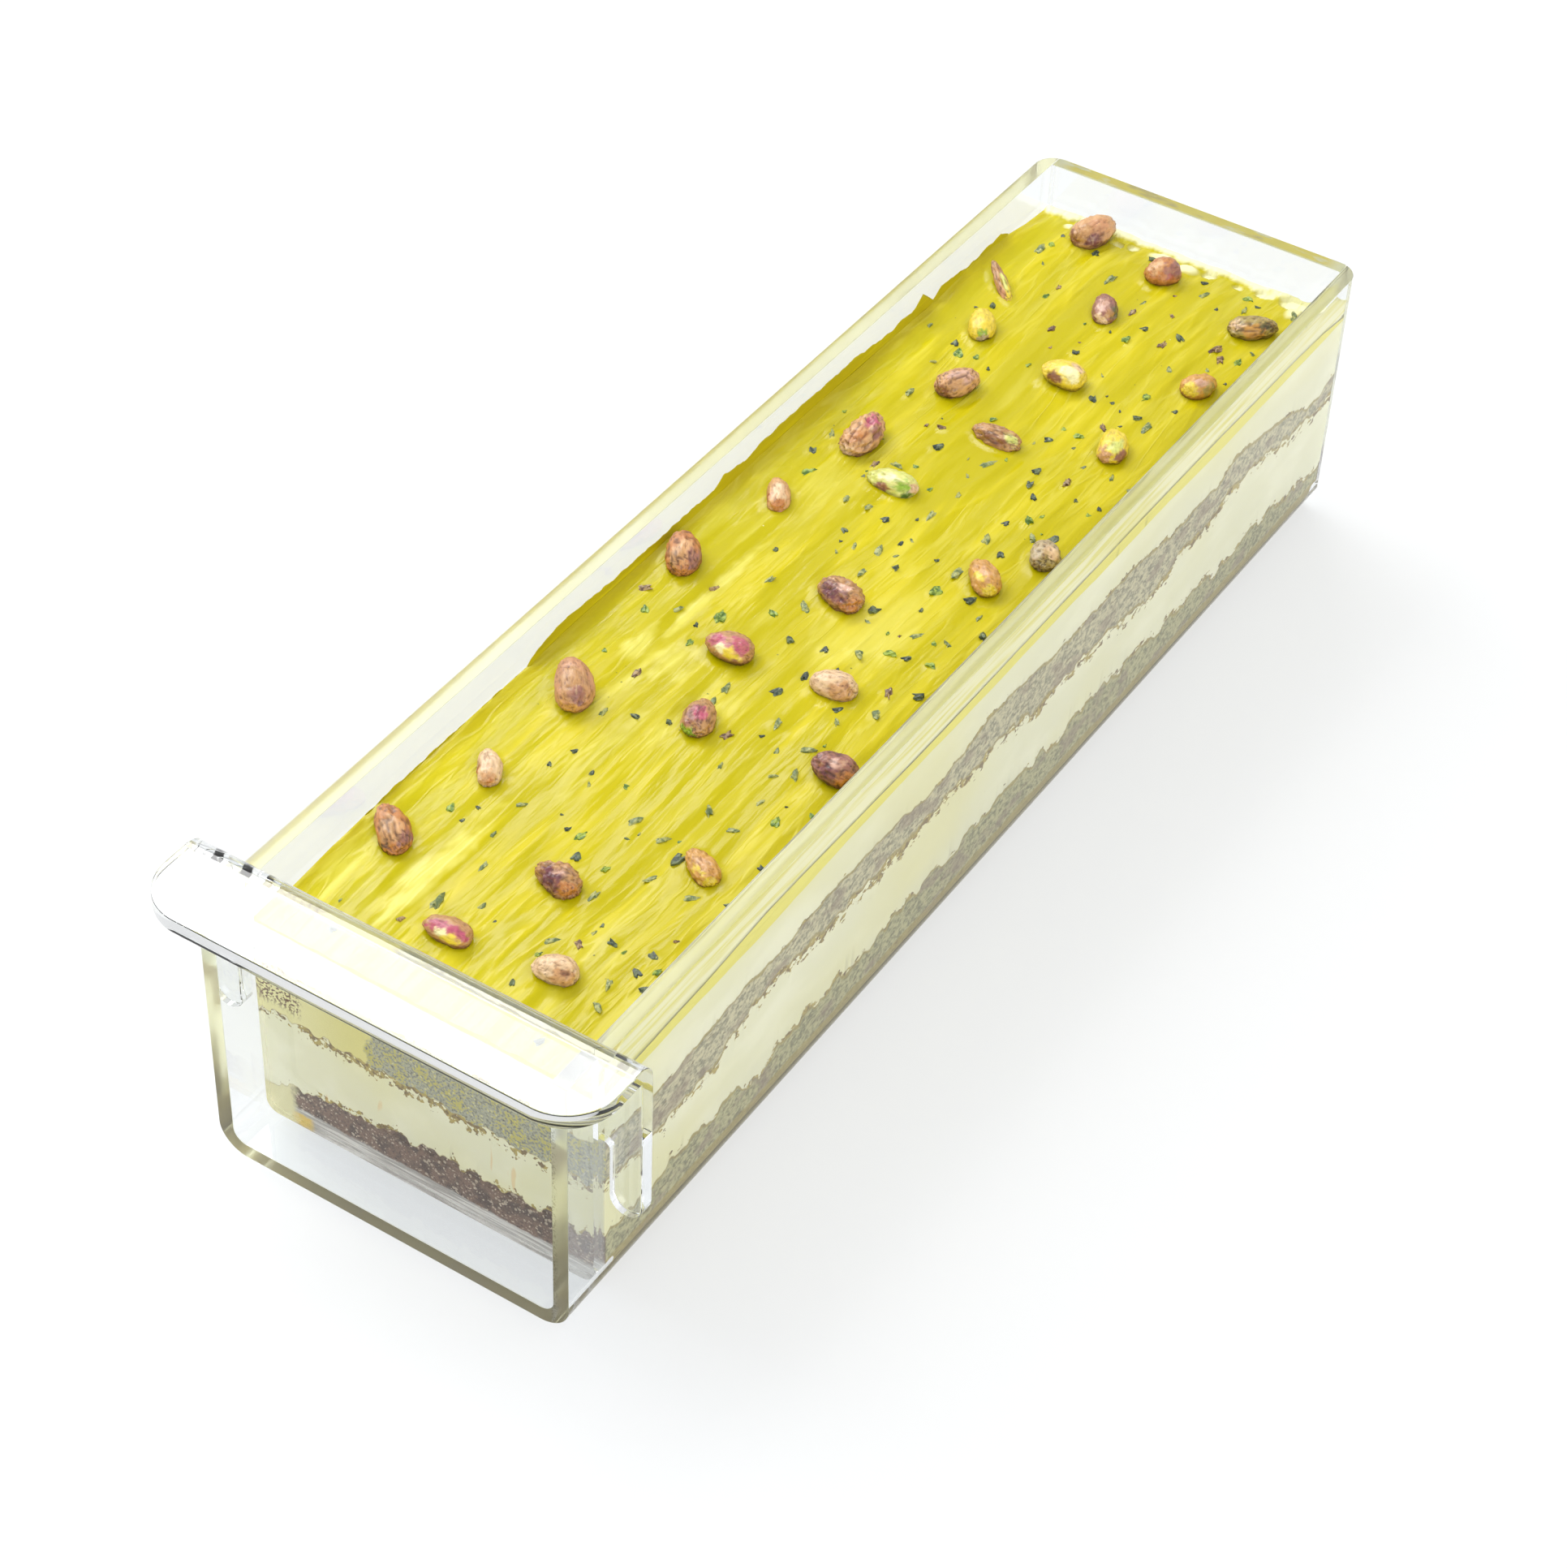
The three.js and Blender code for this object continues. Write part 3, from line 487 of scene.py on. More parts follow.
def acrylic_material(settings, name, has_rim):
    """Clear sheet; along its sawn top and front edges it is hazy and tinted."""
    shader = Shader(name)
    tint = settings.tint
    rough = 0.015 + shader.grain(26, 4, (1, 2.2, 1), 3.0).rise(0.55, 0.8) * 0.035
    if has_rim:
        across, along, up = (shader.axis(name) for name in "XYZ")
        low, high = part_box("tray_channel")
        top, front, back = high.z / MM, low.y / MM, FOOD_BACK / MM
        edges = up.rise(top - 0.5, top - 0.1) + along.rise(front + 0.5, front + 0.1)
        rim = edges * edges.rise(0.0, 1.0)
        # Painted reflection of the glaze along the back wall's sawn edge, yellow with brown patches.
        smeared = along.rise(back, back + 1.0) * shader.math("ABSOLUTE", across).rise(*BACK_GLAZE_SEEN)
        smeared = smeared * shader.grain(3, 3, (3, 1, 1)).rise(0.3, 0.45)
        brown_seen = smeared * shader.grain(7, 2, (3, 1, 1), 5.0).rise(0.55, 0.62)
        lines = shader.grain(0.5, 2.0, (1, 60, 1), 9.0).rise(0.5, 0.58)
        lines = lines * across.rise(*LINES_OUTSIDE) * across.rise(*LINES_INSIDE)
        edge = shader.mix(smeared, settings.rim_tint, RIM_GLAZE_SEEN).under(brown_seen, RIM_BROWN_SEEN)
        tint = shader.mix(rim, tint, edge.under(lines * 0.8, SAWN_LINE))
        rough = rough + rim * settings.rim_rough
    sheet = shader.surface(Base_Color=tint, Roughness=rough, IOR=ACRYLIC_IOR, Transmission_Weight=1.0)
    clear = shader.made("ShaderNodeBsdfTransparent", "BSDF", {"Color": settings.tint})
    in_shadow = shader.made("ShaderNodeLightPath", "Is Shadow Ray")
    sockets = {"Fac": in_shadow, "Shader": sheet, "Shader_001": clear}
    return shader.done(shader.made("ShaderNodeMixShader", "Shader", sockets))


def polished_copy(node, edge_round):
    """A node's own form, with its bends shaded smooth and its cut edges rounded off."""
    build = merged(node)
    bmesh.ops.dissolve_limit(build, angle_limit=FLAT, verts=build.verts, edges=build.edges)
    piece = add_object("clear_" + node, built(build, bpy.data.meshes.new(node)))
    modified(piece, "Rounding", "BEVEL", width=edge_round, segments=2, limit_method="ANGLE",
             angle_limit=CUT_EDGE, use_clamp_overlap=True)
    piece.data.polygons.foreach_set("use_smooth", [True] * len(piece.data.polygons))
    corners_kept(piece.data, BEND_DEGREES)
    return modified(piece, "Flat Faces", "WEIGHTED_NORMAL", keep_sharp=True, weight=100)


class CAKE_OT_tray(Operator):
    """Build the clear tray: the bent channel, the front panel with its grip, and the back wall"""

    bl_idname = "cake.tray"
    bl_label = "Build Tray"

    def execute(self, context):
        settings = context.scene.cake_tray
        rimmed = acrylic_material(settings, "clear_acrylic", True)
        plain = acrylic_material(settings, "clear_acrylic_front", False)
        for node in TRAY_NODES:
            material = plain if node == FRONT_NODE else rimmed
            finish_piece(polished_copy(node, settings.edge_round), material, (node,))
        return {"FINISHED"}


# The layers

class Boundary:
    """The uneven face between two layers, as a height over the plan."""

    def __init__(self, below, above, seed, rough, size, steps=0.0):
        self.below = Skin(below, True)
        self.above = Skin(above, False)
        self.grain = Grain(seed)
        self.rough = rough * MM
        self.size = size * MM
        self.steps = steps

    def heights(self, x, y):
        level = np.array([(self.below.height(a, b) + self.above.height(a, b)) / 2 for a, b in zip(x, y)])
        points = flat_points(x, y) / self.size
        torn = np.tanh(6 * self.grain.layered(points * 0.7 + 31.0, 2)) * self.steps
        return level + self.rough * (self.grain.layered(points, 5, 0.6) + torn)


class FloorFace:
    """The cake's foot: flat on the tray's floor and round where the sheet is bent."""

    def heights(self, x, y):
        radius = BEND_INSIDE + INTO_WALL
        centre_x = INSIDE_HALF - BEND_INSIDE
        centre_z = FLOOR_TOP + BEND_INSIDE
        past = np.maximum(np.abs(x) - centre_x, 0)
        return centre_z - np.sqrt(np.maximum(radius * radius - past * past, 0))


def steps_between(start, end, step):
    count = max(1, round((end - start) / step))
    return np.linspace(start, end, count + 1)


def plan_outline():
    """Points round the cake's plan, anticlockwise from the front left corner."""
    across = steps_between(-FOOD_HALF, FOOD_HALF, STEP_ACROSS)
    along = steps_between(FOOD_FRONT, FOOD_BACK, STEP_ALONG)
    front = [(x, FOOD_FRONT) for x in across[:-1]]
    right = [(FOOD_HALF, y) for y in along[:-1]]
    back = [(x, FOOD_BACK) for x in across[:0:-1]]
    left = [(-FOOD_HALF, y) for y in along[:0:-1]]
    return front + right + back + left


def plan_triangles(outline):
    """The plan cut into triangles, with rows of points along the bends of the floor."""
    points = [Vector(point) for point in outline]
    edges = [(i, (i + 1) % len(outline)) for i in range(len(outline))]
    centre = INSIDE_HALF - BEND_INSIDE
    turns = np.linspace(0, math.pi / 2, BEND_STEPS + 1)[:-1]
    bends = [centre + (BEND_INSIDE + INTO_WALL) * math.sin(turn) for turn in turns]
    middle = steps_between(-centre, centre, STEP_INSIDE)[1:-1]
    columns = [-x for x in reversed(bends)] + list(middle) + bends
    rows = steps_between(FOOD_FRONT, FOOD_BACK, STEP_INSIDE / 2)[1:-1]
    for x in columns:
        for index, y in enumerate(rows):
            points.append(Vector((x, y)))
            if index:
                edges.append((len(points) - 2, len(points) - 1))
    cut = delaunay_2d_cdt(points, edges, [], 1, 1e-7)
    return np.array([tuple(point) for point in cut[0]]), [tuple(face) for face in cut[2]]


def layer_mesh(name, low, high, outline, plan):
    """A closed layer between two faces, with its heights over and under them kept."""
    points, triangles = plan
    x, y = points.T
    feet = low.heights(x, y)
    tops = high.heights(x, y)
    count, ring = len(points), len(outline)
    edge = np.arange(ring)
    rows = [edge]
    places = [np.stack([x, y, feet], axis=1), np.stack([x, y, tops], axis=1)]
    for row in range(1, WALL_ROWS):
        share = row / WALL_ROWS
        z = feet[:ring] + (tops[:ring] - feet[:ring]) * share
        places.append(np.stack([x[:ring], y[:ring], z], axis=1))
        rows.append(2 * count + (row - 1) * ring + edge)
    rows.append(count + edge)
    faces = [(a, c, b) for a, b, c in triangles]
    faces += [(a + count, b + count, c + count) for a, b, c in triangles]
    for lower, upper in zip(rows, rows[1:]):
        for i, after in zip(edge, np.roll(edge, -1)):
            faces.append((lower[i], lower[after], upper[after], upper[i]))
    places = np.concatenate(places)
    whole = np.concatenate([np.arange(count)] * 2 + [edge] * (WALL_ROWS - 1))
    along = places[:, 1]
    attributes = {
        "over_foot": (places[:, 2] - feet[whole]) / MM,
        "under_top": (tops[whole] - places[:, 2]) / MM,
        "cut_end": (np.abs(along - FOOD_FRONT) < INTO_WALL) | (np.abs(along - FOOD_BACK) < INTO_WALL),
    }
    return corners_kept(mesh_from(name, places, faces, attributes))


CREAM_PALE = colour(243, 241, 214)
CREAM_DEEP = colour(229, 224, 168)
CREAM_SMEAR = colour(222, 216, 168)
CREAM_CRUMB = (colour(122, 100, 54), colour(178, 158, 80))
OCHRE_RIM = colour(176, 158, 88)
DRIP = colour(226, 186, 110)
SIDE_BROWN = colour(142, 122, 104)
SIDE_OLIVE = colour(158, 140, 70)
SIDE_STREAK = colour(110, 92, 60)
LOWER_BRIGHT = colour(206, 190, 168)
LOWER_PIT_SHADE = colour(66, 46, 38)
LOWER_LACE = colour(196, 180, 158)
LOWER_FOOT = (colour(176, 172, 166), colour(232, 230, 224))
LOWER_BLOB = colour(216, 186, 92)
UPPER_OLIVE = colour(196, 186, 78)
UPPER_PIT_SHADE = colour(84, 72, 48)
UPPER_LACE = colour(214, 210, 150)
UPPER_COVER = (colour(228, 222, 164), colour(220, 212, 132))
UPPER_PATCH = colour(116, 90, 66)


def crumb_specks(shader, distance, reach, density, shift):
    """Specks of crumb in the cream, thick at a sponge's edge and rare away from it."""
    near = distance.rise(reach, 0.0)
    fine = shader.grain(1.7, 3.0, (1, 1.8, 1), shift, 0.6)
    patches = shader.grain(16.0, 2.0, (1, 1.5, 1), shift + 4).rise(0.46, 0.58)
    return (fine - (0.75 - near * density - patches * near * 0.13)).rise(0.0, 0.03)


def cream_material(settings, name, over_reach, under_reach):
    """Cream with crumbs dragged into it over a foot and under a top, and an ochre rim at each."""
    shader = Shader(name)
    smears = shader.grain(14, 3.0, (1, 2.4, 1), 1.0)
    cloudy = shader.grain(45, 2.0, (1, 2, 1), 6.0)
    over, under = shader.kept("over_foot"), shader.kept("under_top")
    fine = shader.grain(1.2, 3.0, shift=4) * 0.8
    specks = crumb_specks(shader, over, over_reach, 0.17, 2.0)
    rim = (over + fine).rise(1.0, 0.3)
    if under_reach:
        specks = specks + crumb_specks(shader, under, under_reach, 0.23, 12.0)
        rim = rim + (under + fine).rise(1.0, 0.3)
    crumb = shader.mix(shader.grain(2.0, 2.0, shift=9).rise(0.42, 0.58), *CREAM_CRUMB)
    drips = shader.kept("cut_end") * shader.grain(2.4, 1.0, (1, 1, 5), 33).rise(0.68, 0.76)
    base = shader.mix(smears.rise(0.42, 0.7) * 0.7, settings.cream, CREAM_PALE)
    base = base.under(cloudy.rise(0.45, 0.7) * 0.7, CREAM_DEEP).under(rim * 0.85, OCHRE_RIM)
    base = base.under(specks, crumb).under(drips * 0.5, DRIP)
    return shader.done(
        Base_Color=base, Roughness=0.5, Subsurface_Weight=0.12, Subsurface_Scale=0.002,
        Subsurface_Radius=(1.0, 0.9, 0.5), Normal=shader.bump(smears, 0.15))


def side_crumb(shader, side, shift):
    """Wet sponge pressed flat against a side wall, and its finest pattern."""
    fine = shader.grain(1.3, 4.0, (1, 1.4, 1), shift, 0.65)
    lumps = shader.grain(7.5, 4.0, (1, 1.8, 1), shift + 5)
    edge = shader.math("MINIMUM", shader.kept("over_foot"), shader.kept("under_top"))
    olive = (edge + lumps * 4.5 + fine * 1.5).rise(4.3, 3.3)
    streaks = shader.grain(1.4, 2.0, (1, 3, 1), shift + 11).rise(0.64, 0.68)
    wet = shader.mix(fine.rise(0.36, 0.6), shaded(side, 0.5), shaded(side, 1.25, 0.02))
    wet = wet.under(lumps.rise(0.52, 0.62) * 0.6, SIDE_BROWN).under(olive * 0.75, SIDE_OLIVE)
    return wet.under(streaks * 0.6, SIDE_STREAK), fine


def sponge_done(shader, wet, crumb, fine, pits):
    """A sponge that is wet at its sides and shows its crumb at its cut ends."""
    base = wet.under(shader.kept("cut_end"), crumb)
    return shader.done(Base_Color=base, Roughness=0.75, Normal=shader.bump(fine * 0.5 + pits * 0.5, 0.35))


def lower_sponge_material(settings):
    """Brown nut sponge, whose cut ends are dark and porous, with smears at their foot."""
    shader = Shader("sponge_brown")
    wet, fine = side_crumb(shader, settings.lower_side, 0.0)
    front = settings.lower_front
    across, up = shader.axis("X"), shader.axis("Z")
    pits = shader.grain(0.9, 2.0, shift=15.0)
    clumps = shader.grain(4.0, 3.0, shift=16.0)
    lines = shader.grain(0.7, 2.0, (26, 1, 1), 17.0)
    lace = (shader.pores(1.7, 12.0) + clumps * 0.4).rise(0.58, 0.46)
    foot = (up + lines * 3.0 + clumps * 3.0).rise(13.4, 11.8)
    blob = (across + clumps * 6.0).rise(-36.0, -39.0) * (up + fine * 2.0).rise(9.4, 8.0)
    cover = (across + clumps * 8.0).rise(-40.0, -44.0)
    crumb = shader.mix(clumps.rise(0.35, 0.6), shaded(front, 0.45), front)
    # Darkest in the low pits: the crumb's own brown with painted shade in its pores.
    crumb = crumb.under(pits.rise(0.6, 0.68), LOWER_BRIGHT).under(pits.rise(0.42, 0.34) * 0.8, LOWER_PIT_SHADE)
    crumb = crumb.under(lace * 0.75, LOWER_LACE)
    crumb = crumb.under(foot * 0.85, shader.mix(lines.rise(0.42, 0.58), *LOWER_FOOT))
    return sponge_done(shader, wet, crumb.under(blob, LOWER_BLOB).under(cover, CREAM_SMEAR), fine, pits)


def upper_sponge_material(settings):
    """Olive pistachio sponge: its cut end is grey and olive crumb, smeared over on the left."""
    shader = Shader("sponge_pale")
    wet, fine = side_crumb(shader, settings.upper_side, 20.0)
    front = settings.upper_front
    across = shader.axis("X")
    pits = shader.grain(0.9, 2.0, shift=35.0)
    clumps = shader.grain(5.0, 3.0, shift=36.0)
    olive = (pits + clumps * 0.6).rise(0.8, 0.92)
    lace = (shader.pores(1.5, 22.0) + clumps * 0.3).rise(0.47, 0.39)
    patch = (across + fine * 5.0).rise(-38.0, -40.0) * shader.kept("under_top").rise(14.0, 10.0)
    cover = shader.mix(across.rise(-46.0, -20.0), *UPPER_COVER)
    cover = cover.under(patch * pits.rise(0.5, 0.54), UPPER_PATCH)
    # Darker in the low pits of the crumb: its own colour with painted shade in its pores.
    crumb = shader.mix(pits.rise(0.36, 0.56), shaded(front, 0.55), front)
    crumb = crumb.under(olive * 0.85, UPPER_OLIVE).under(pits.rise(0.36, 0.28), UPPER_PIT_SHADE)
    crumb = crumb.under(lace * 0.7, UPPER_LACE)
    crumb = crumb.under((across + clumps * 16.0).rise(-8.0, -11.0), cover)
    return sponge_done(shader, wet, crumb, fine, pits)


class CAKE_OT_layers(Operator):
    """Build the two sponges and the two creams, pressed against the tray's walls"""

    bl_idname = "cake.layers"
    bl_label = "Build Layers"

    def execute(self, context):
        settings = context.scene.cake_layers
        materials = {
            "sponge_lower": lower_sponge_material(settings),
            "cream_lower": cream_material(settings, "cream_lower", over_reach=5.0, under_reach=8.0),
            "sponge_upper": upper_sponge_material(settings),
            "cream_upper": cream_material(settings, "cream_upper", over_reach=2.5, under_reach=0),
        }
        outline = plan_outline()
        plan = plan_triangles(outline)
        faces = layer_faces()
        for (node, slot), low, high in zip(LAYERS, faces, faces[1:]):
            piece = add_object("piece_" + node, layer_mesh(node, low, high, outline, plan))
            finish_piece(piece, materials[node], (node,))
        return {"FINISHED"}


LAYERS = (
    ("sponge_lower", "sponge_brown"),
    ("cream_lower", "cream"),
    ("sponge_upper", "sponge_pale"),
    ("cream_upper", "cream"),
)


def layer_faces():
    """The faces between the layers, from the tray's floor up to the glaze."""
    return [
        FloorFace(),
        Boundary("sponge_lower", "cream_lower", seed=5, rough=0.95, size=5, steps=1.4),
        Boundary("cream_lower", "sponge_upper", seed=6, rough=0.9, size=4.5, steps=1.0),
        Boundary("sponge_upper", "cream_upper", seed=7, rough=0.55, size=5.5, steps=0.7),
        Boundary("cream_upper", GLAZE, seed=8, rough=0.2, size=12),
    ]


# The glaze

GRID_STEP = 1.0 * MM
KERNEL_MARGIN = 2.2 * MM
BIT_MARGIN = 0.9 * MM
FILL_ROUNDS = 400
LEAST_DEPTH = 0.5 * MM
CREASE = math.radians(12)
BIT_FACES = (12, 80)


def packed_bits():
    """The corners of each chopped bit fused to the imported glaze, told apart by the crease round it."""
    build = merged(GLAZE)
    unseen = set(build.faces)
    bits = []
    while unseen:
        queue = [unseen.pop()]
        lump = []
        while queue:
            face = queue.pop()
            lump.append(face)
            for edge in face.edges:
                if len(edge.link_faces) == 2 and edge.calc_face_angle_signed(0) > -CREASE:
                    near = [other for other in edge.link_faces if other in unseen]
                    unseen.difference_update(near)
                    queue.extend(near)
        if BIT_FACES[0] <= len(lump) <= BIT_FACES[1]:
            corners = {tuple(vertex.co) for face in lump for vertex in face.verts}
            bits.append(np.array(sorted(corners)))
    build.free()
    return sorted(bits, key=lambda bit: tuple(bit[0]))


class GlazeTop:
    """The glaze's height as packed, without the kernels' hollows and the chopped bits."""

    def __init__(self):
        self.xs = steps_between(GLAZE_LOW.x, GLAZE_HIGH.x, GRID_STEP)
        self.ys = steps_between(GLAZE_LOW.y, GLAZE_HIGH.y, GRID_STEP)
        self.bits = packed_bits()
        skin = Skin(GLAZE, True)
        raw = np.array([[skin.height(x, y) for y in self.ys] for x in self.xs])
        boxes = [(bit.min(axis=0) - BIT_MARGIN, bit.max(axis=0) + BIT_MARGIN) for bit in self.bits]
        for name in KERNELS:
            boxes += [(point - KERNEL_MARGIN, point + KERNEL_MARGIN) for point in node_points(name)]
        self.level = self.filled(raw, self.covered(boxes))

    def covered(self, boxes):
        """Which of the grid's points lie in any of some boxes, each a low and a high corner."""
        hidden = np.zeros((len(self.xs), len(self.ys)), bool)
        for low, high in boxes:
            across = (self.xs > low[0]) & (self.xs < high[0])
            along = (self.ys > low[1]) & (self.ys < high[1])
            hidden |= across[:, None] & along[None, :]
        return hidden

    def neighbours(self, values):
        padded = np.pad(values, 1, mode="edge")
        return padded[:-2, 1:-1], padded[2:, 1:-1], padded[1:-1, :-2], padded[1:-1, 2:]

    def filled(self, values, hidden):
        """The values with the hidden ones spread in smoothly from those around them."""
        filled = np.where(hidden, np.median(values[~hidden]), values)
        for _ in range(FILL_ROUNDS):
            filled = np.where(hidden, sum(self.neighbours(filled)) / 4, filled)
        return filled

    def heights(self, x, y):
        """The height at points, read between the grid's own."""
        spots = []
        for values, line in ((x, self.xs), (y, self.ys)):
            spots.append(np.clip((values - line[0]) / (line[1] - line[0]), 0, len(line) - 1.001))
        i, j = (spot.astype(int) for spot in spots)
        u, v = spots[0] - i, spots[1] - j
        low = self.level[i, j] * (1 - u) + self.level[i + 1, j] * u
        high = self.level[i, j + 1] * (1 - u) + self.level[i + 1, j + 1] * u
        return low * (1 - v) + high * v

    def bit_places(self):
        """The middle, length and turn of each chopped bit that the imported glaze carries."""
        places = []
        for corners in self.bits:
            plan = corners[:, :2]
            middle = (plan.max(axis=0) + plan.min(axis=0)) / 2
            _, _, axes = np.linalg.svd(plan - plan.mean(axis=0), full_matrices=False)
            length = np.ptp(plan @ axes[0])
            places.append((*middle, length, math.atan2(-axes[0][0], axes[0][1])))
        return places


# Where cream shows through the glaze: across, along, half width, half length, strength.
# Lengths along the cake count from the tray's front edge.
PALE_PLACES = (
    (-28, 58, 4, 24, 0.8), (-33, 44, 3, 12, 0.4), (-18, 122, 4, 28, 0.45), (-29, 150, 3, 18, 0.5),
    (-35, 168, 3, 9, 0.9), (-31, 200, 2.5, 26, 0.8), (-22, 168, 6, 8, 0.7), (-7, 148, 3, 22, 0.4),
    (-12, 206, 4, 18, 0.35), (2, 163, 4, 7, 0.4), (-38, 245, 2, 25, 0.3), (14, 185, 1.5, 12, 0.3),
)
# Where the back edge is torn open: across, along, half width, half length.
TORN_PLACES = (
    (-39, 439, 1.8, 1.6), (-23, 437, 1.6, 1.4), (-18, 439.5, 1.7, 1.8), (11, 440, 2.2, 2.2),
    (22, 439.5, 1.6, 1.4), (31.5, 441, 3.2, 2.4), (43, 441, 5.5, 3.4),
)
CREAM_EDGE = 442
CREAM_PATCHES = ((-7, 439, 4, 3), (3, 438, 3, 3), (45, 436, 2.5, 4), (-42, 437, 2, 1.5))
# Cells of the noises that lay out the glaze, across and along, in millimetres.
SLOW_CELL = (60, 80)
QUICK_CELL = (14, 35)
DRAG_CELL = (6.5, 60)
DRAG_PATCH = (16, 30)
SPOT_CELL = (5, 9)
EDGE_CELL = (4, 40)
# How the strokes bend sideways and how long they are, and how wide a dragged line is in its cell.
SLOW_BEND = 7 * MM
QUICK_BEND = 1.5 * MM
STROKE_LENGTH = 75 * MM
DRAG_WIDTH = 0.13
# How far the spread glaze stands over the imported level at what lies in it, and the swells' reach.
DRAG_RISE = 0.25 * MM
KERNEL_RISE = 0.45 * MM
CREAM_RISE = 0.9 * MM
BIT_RISE = 0.22 * MM
BIT_REACH = 0.8
TORN_DEPTH = 3.2 * MM
BESIDE_KERNEL = 0.4 * MM
AHEAD_OF_KERNEL = 0.2 * MM
KERNEL_FADE = (1.45, 0.95)


def from_front(along):
    """A length along the tray from its front edge, in millimetres, as the frame's y."""
    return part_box("tray_channel")[0].y + along * MM


class Spread:
    """The glaze as spread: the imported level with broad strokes, and swells round what lies in it."""

    def __init__(self, settings):
        self.base = GlazeTop()
        self.ridge = settings.ridge
        self.width = settings.ridge_width
        self.drift = Grain(71)
        self.strokes = Grain(72)
        self.fine = Grain(73)
        self.swells = [(x, y, BIT_REACH * length) for x, y, length, _ in self.base.bit_places()]
        self.forms = [KernelForm(name) for name in KERNELS]

    def bent(self, x, y):
        slow = SLOW_BEND * self.drift.at(in_cells(x, y, *SLOW_CELL))
        quick = QUICK_BEND * self.drift.at(in_cells(x, y, *QUICK_CELL, 9))
        return x + slow + quick

    def stroke(self, x, y):
        """The spatula's broad strokes, from about -1 to 1."""
        points = flat_points(self.bent(x, y) / self.width, y / STROKE_LENGTH)
        return self.strokes.layered(points, 3, 0.5)

    def drag(self, x, y):
        """Lines that the spatula dragged up here and there, 0 to 1."""
        crossing = np.abs(self.fine.at(in_cells(self.bent(x, y), y, *DRAG_CELL)))
        here = smooth(self.drift.at(in_cells(x, y, *DRAG_PATCH, 40)), 0.0, 0.35)
        return np.clip(1 - crossing / DRAG_WIDTH, 0, 1) * here

    def spots(self, x, y, places, softness=0.85):
        """How far points lie inside ragged ellipses, 0 to 1."""
        total = np.zeros(len(x))
        ragged = 0.8 * self.fine.layered(in_cells(x, y, *SPOT_CELL), 3)
        for across, along, half_width, half_length, *strength in places:
            u = (x - across * MM) / (half_width * MM)
            v = (y - from_front(along)) / (half_length * MM)
            share = smooth(np.hypot(u, v) + softness * ragged, 1 + softness, 1 - softness)
            total = np.maximum(total, share * (strength[0] if strength else 1))
        return total

    def near_kernels(self, x, y):
        """1 under a kernel's edge, falling to 0 a little way off."""
        total = np.zeros(len(x))
        for form in self.forms:
            across, forward = (axis[:2] / np.linalg.norm(axis[:2]) for axis in form.axes[:2])
            offset = np.stack([x, y], axis=1) - form.centre[:2]
            u = offset @ across / (form.half_width + BESIDE_KERNEL)
            v = offset @ forward / (form.half_length + AHEAD_OF_KERNEL)
            total = np.maximum(total, smooth(np.hypot(u, v), *KERNEL_FADE))
        return total

    def torn(self, x, y):
        return self.spots(x, y, TORN_PLACES, 0.25)

    def cream_edge(self, x, y):
        """Cream that shows along the torn back edge."""
        ragged = 1.4 * MM * self.fine.layered(in_cells(x, y, *EDGE_CELL) + 60, 3)
        edge = from_front(CREAM_EDGE)
        band = smooth(y + ragged, edge - 0.5 * MM, edge + 0.8 * MM)
        return np.maximum(band, 0.9 * self.spots(x, y, CREAM_PATCHES, 0.35))

    def heights(self, x, y):
        height = self.base.heights(x, y) + self.ridge * self.stroke(x, y) + DRAG_RISE * self.drag(x, y)
        height += KERNEL_RISE * self.near_kernels(x, y) + CREAM_RISE * self.cream_edge(x, y)
        for centre_x, centre_y, reach in self.swells:
            near = (np.abs(x - centre_x) < 2 * reach) & (np.abs(y - centre_y) < 2 * reach)
            away = np.hypot(x[near] - centre_x, y[near] - centre_y) / reach
            height[near] += BIT_RISE * np.exp(-(away ** 4))
        return height - TORN_DEPTH * self.torn(x, y)


def glaze_mesh(spread, foot):
    """The glaze: a fine ridged top, walls against the tray, and a coarse foot."""
    across = steps_between(-FOOD_HALF, FOOD_HALF, STEP_ACROSS)
    along = steps_between(FOOD_FRONT, FOOD_BACK, STEP_ALONG)
    grid_x, grid_y = np.meshgrid(across, along, indexing="ij")
    x, y = grid_x.ravel(), grid_y.ravel()
    base = grid_x.size
    index = np.arange(base).reshape(grid_x.shape)
    ring = np.concatenate([index[:-1, 0], index[-1, :-1], index[:0:-1, -1], index[0, :0:-1]])
    plan_points, plan_faces = plan_triangles(plan_outline())
    feet = foot.heights(*plan_points.T)
    tops = np.maximum(spread.heights(x, y), foot.heights(x, y) + LEAST_DEPTH)
    places = np.concatenate([np.stack([x, y, tops], axis=1), np.column_stack([plan_points, feet])])
    quads = np.stack([index[:-1, :-1], index[1:, :-1], index[1:, 1:], index[:-1, 1:]], axis=-1)
    faces = [tuple(quad) for quad in quads.reshape(-1, 4)]
    faces += [(base + a, base + c, base + b) for a, b, c in plan_faces]
    for i, upper in enumerate(ring):
        after = (i + 1) % len(ring)
        faces.append((base + i, base + after, ring[after], upper))
    attributes = {
        "stroke": spread.stroke(x, y) + 0.6 * spread.drag(x, y),
        "thin": spread.spots(x, y, PALE_PLACES),
        "cream": np.maximum(spread.cream_edge(x, y), spread.torn(x, y)),
        "shade": spread.near_kernels(x, y),
    }
    at_foot = np.zeros(len(plan_points))
    attributes = {name: np.concatenate([values, at_foot]) for name, values in attributes.items()}
    return corners_kept(mesh_from(GLAZE, places, faces, attributes))


GLAZE_RICH = (0.42, 0.34, 0.001)
# Painted light on the glaze's right side face against the wall.
GLAZE_SIDE_LIGHT = (0.85, 0.78, 0.16)
CREAM_SHOWING = colour(238, 236, 190)
DOT_GREEN = colour(74, 84, 40)
FLECK_AND_GLINT = colour(244, 240, 190)


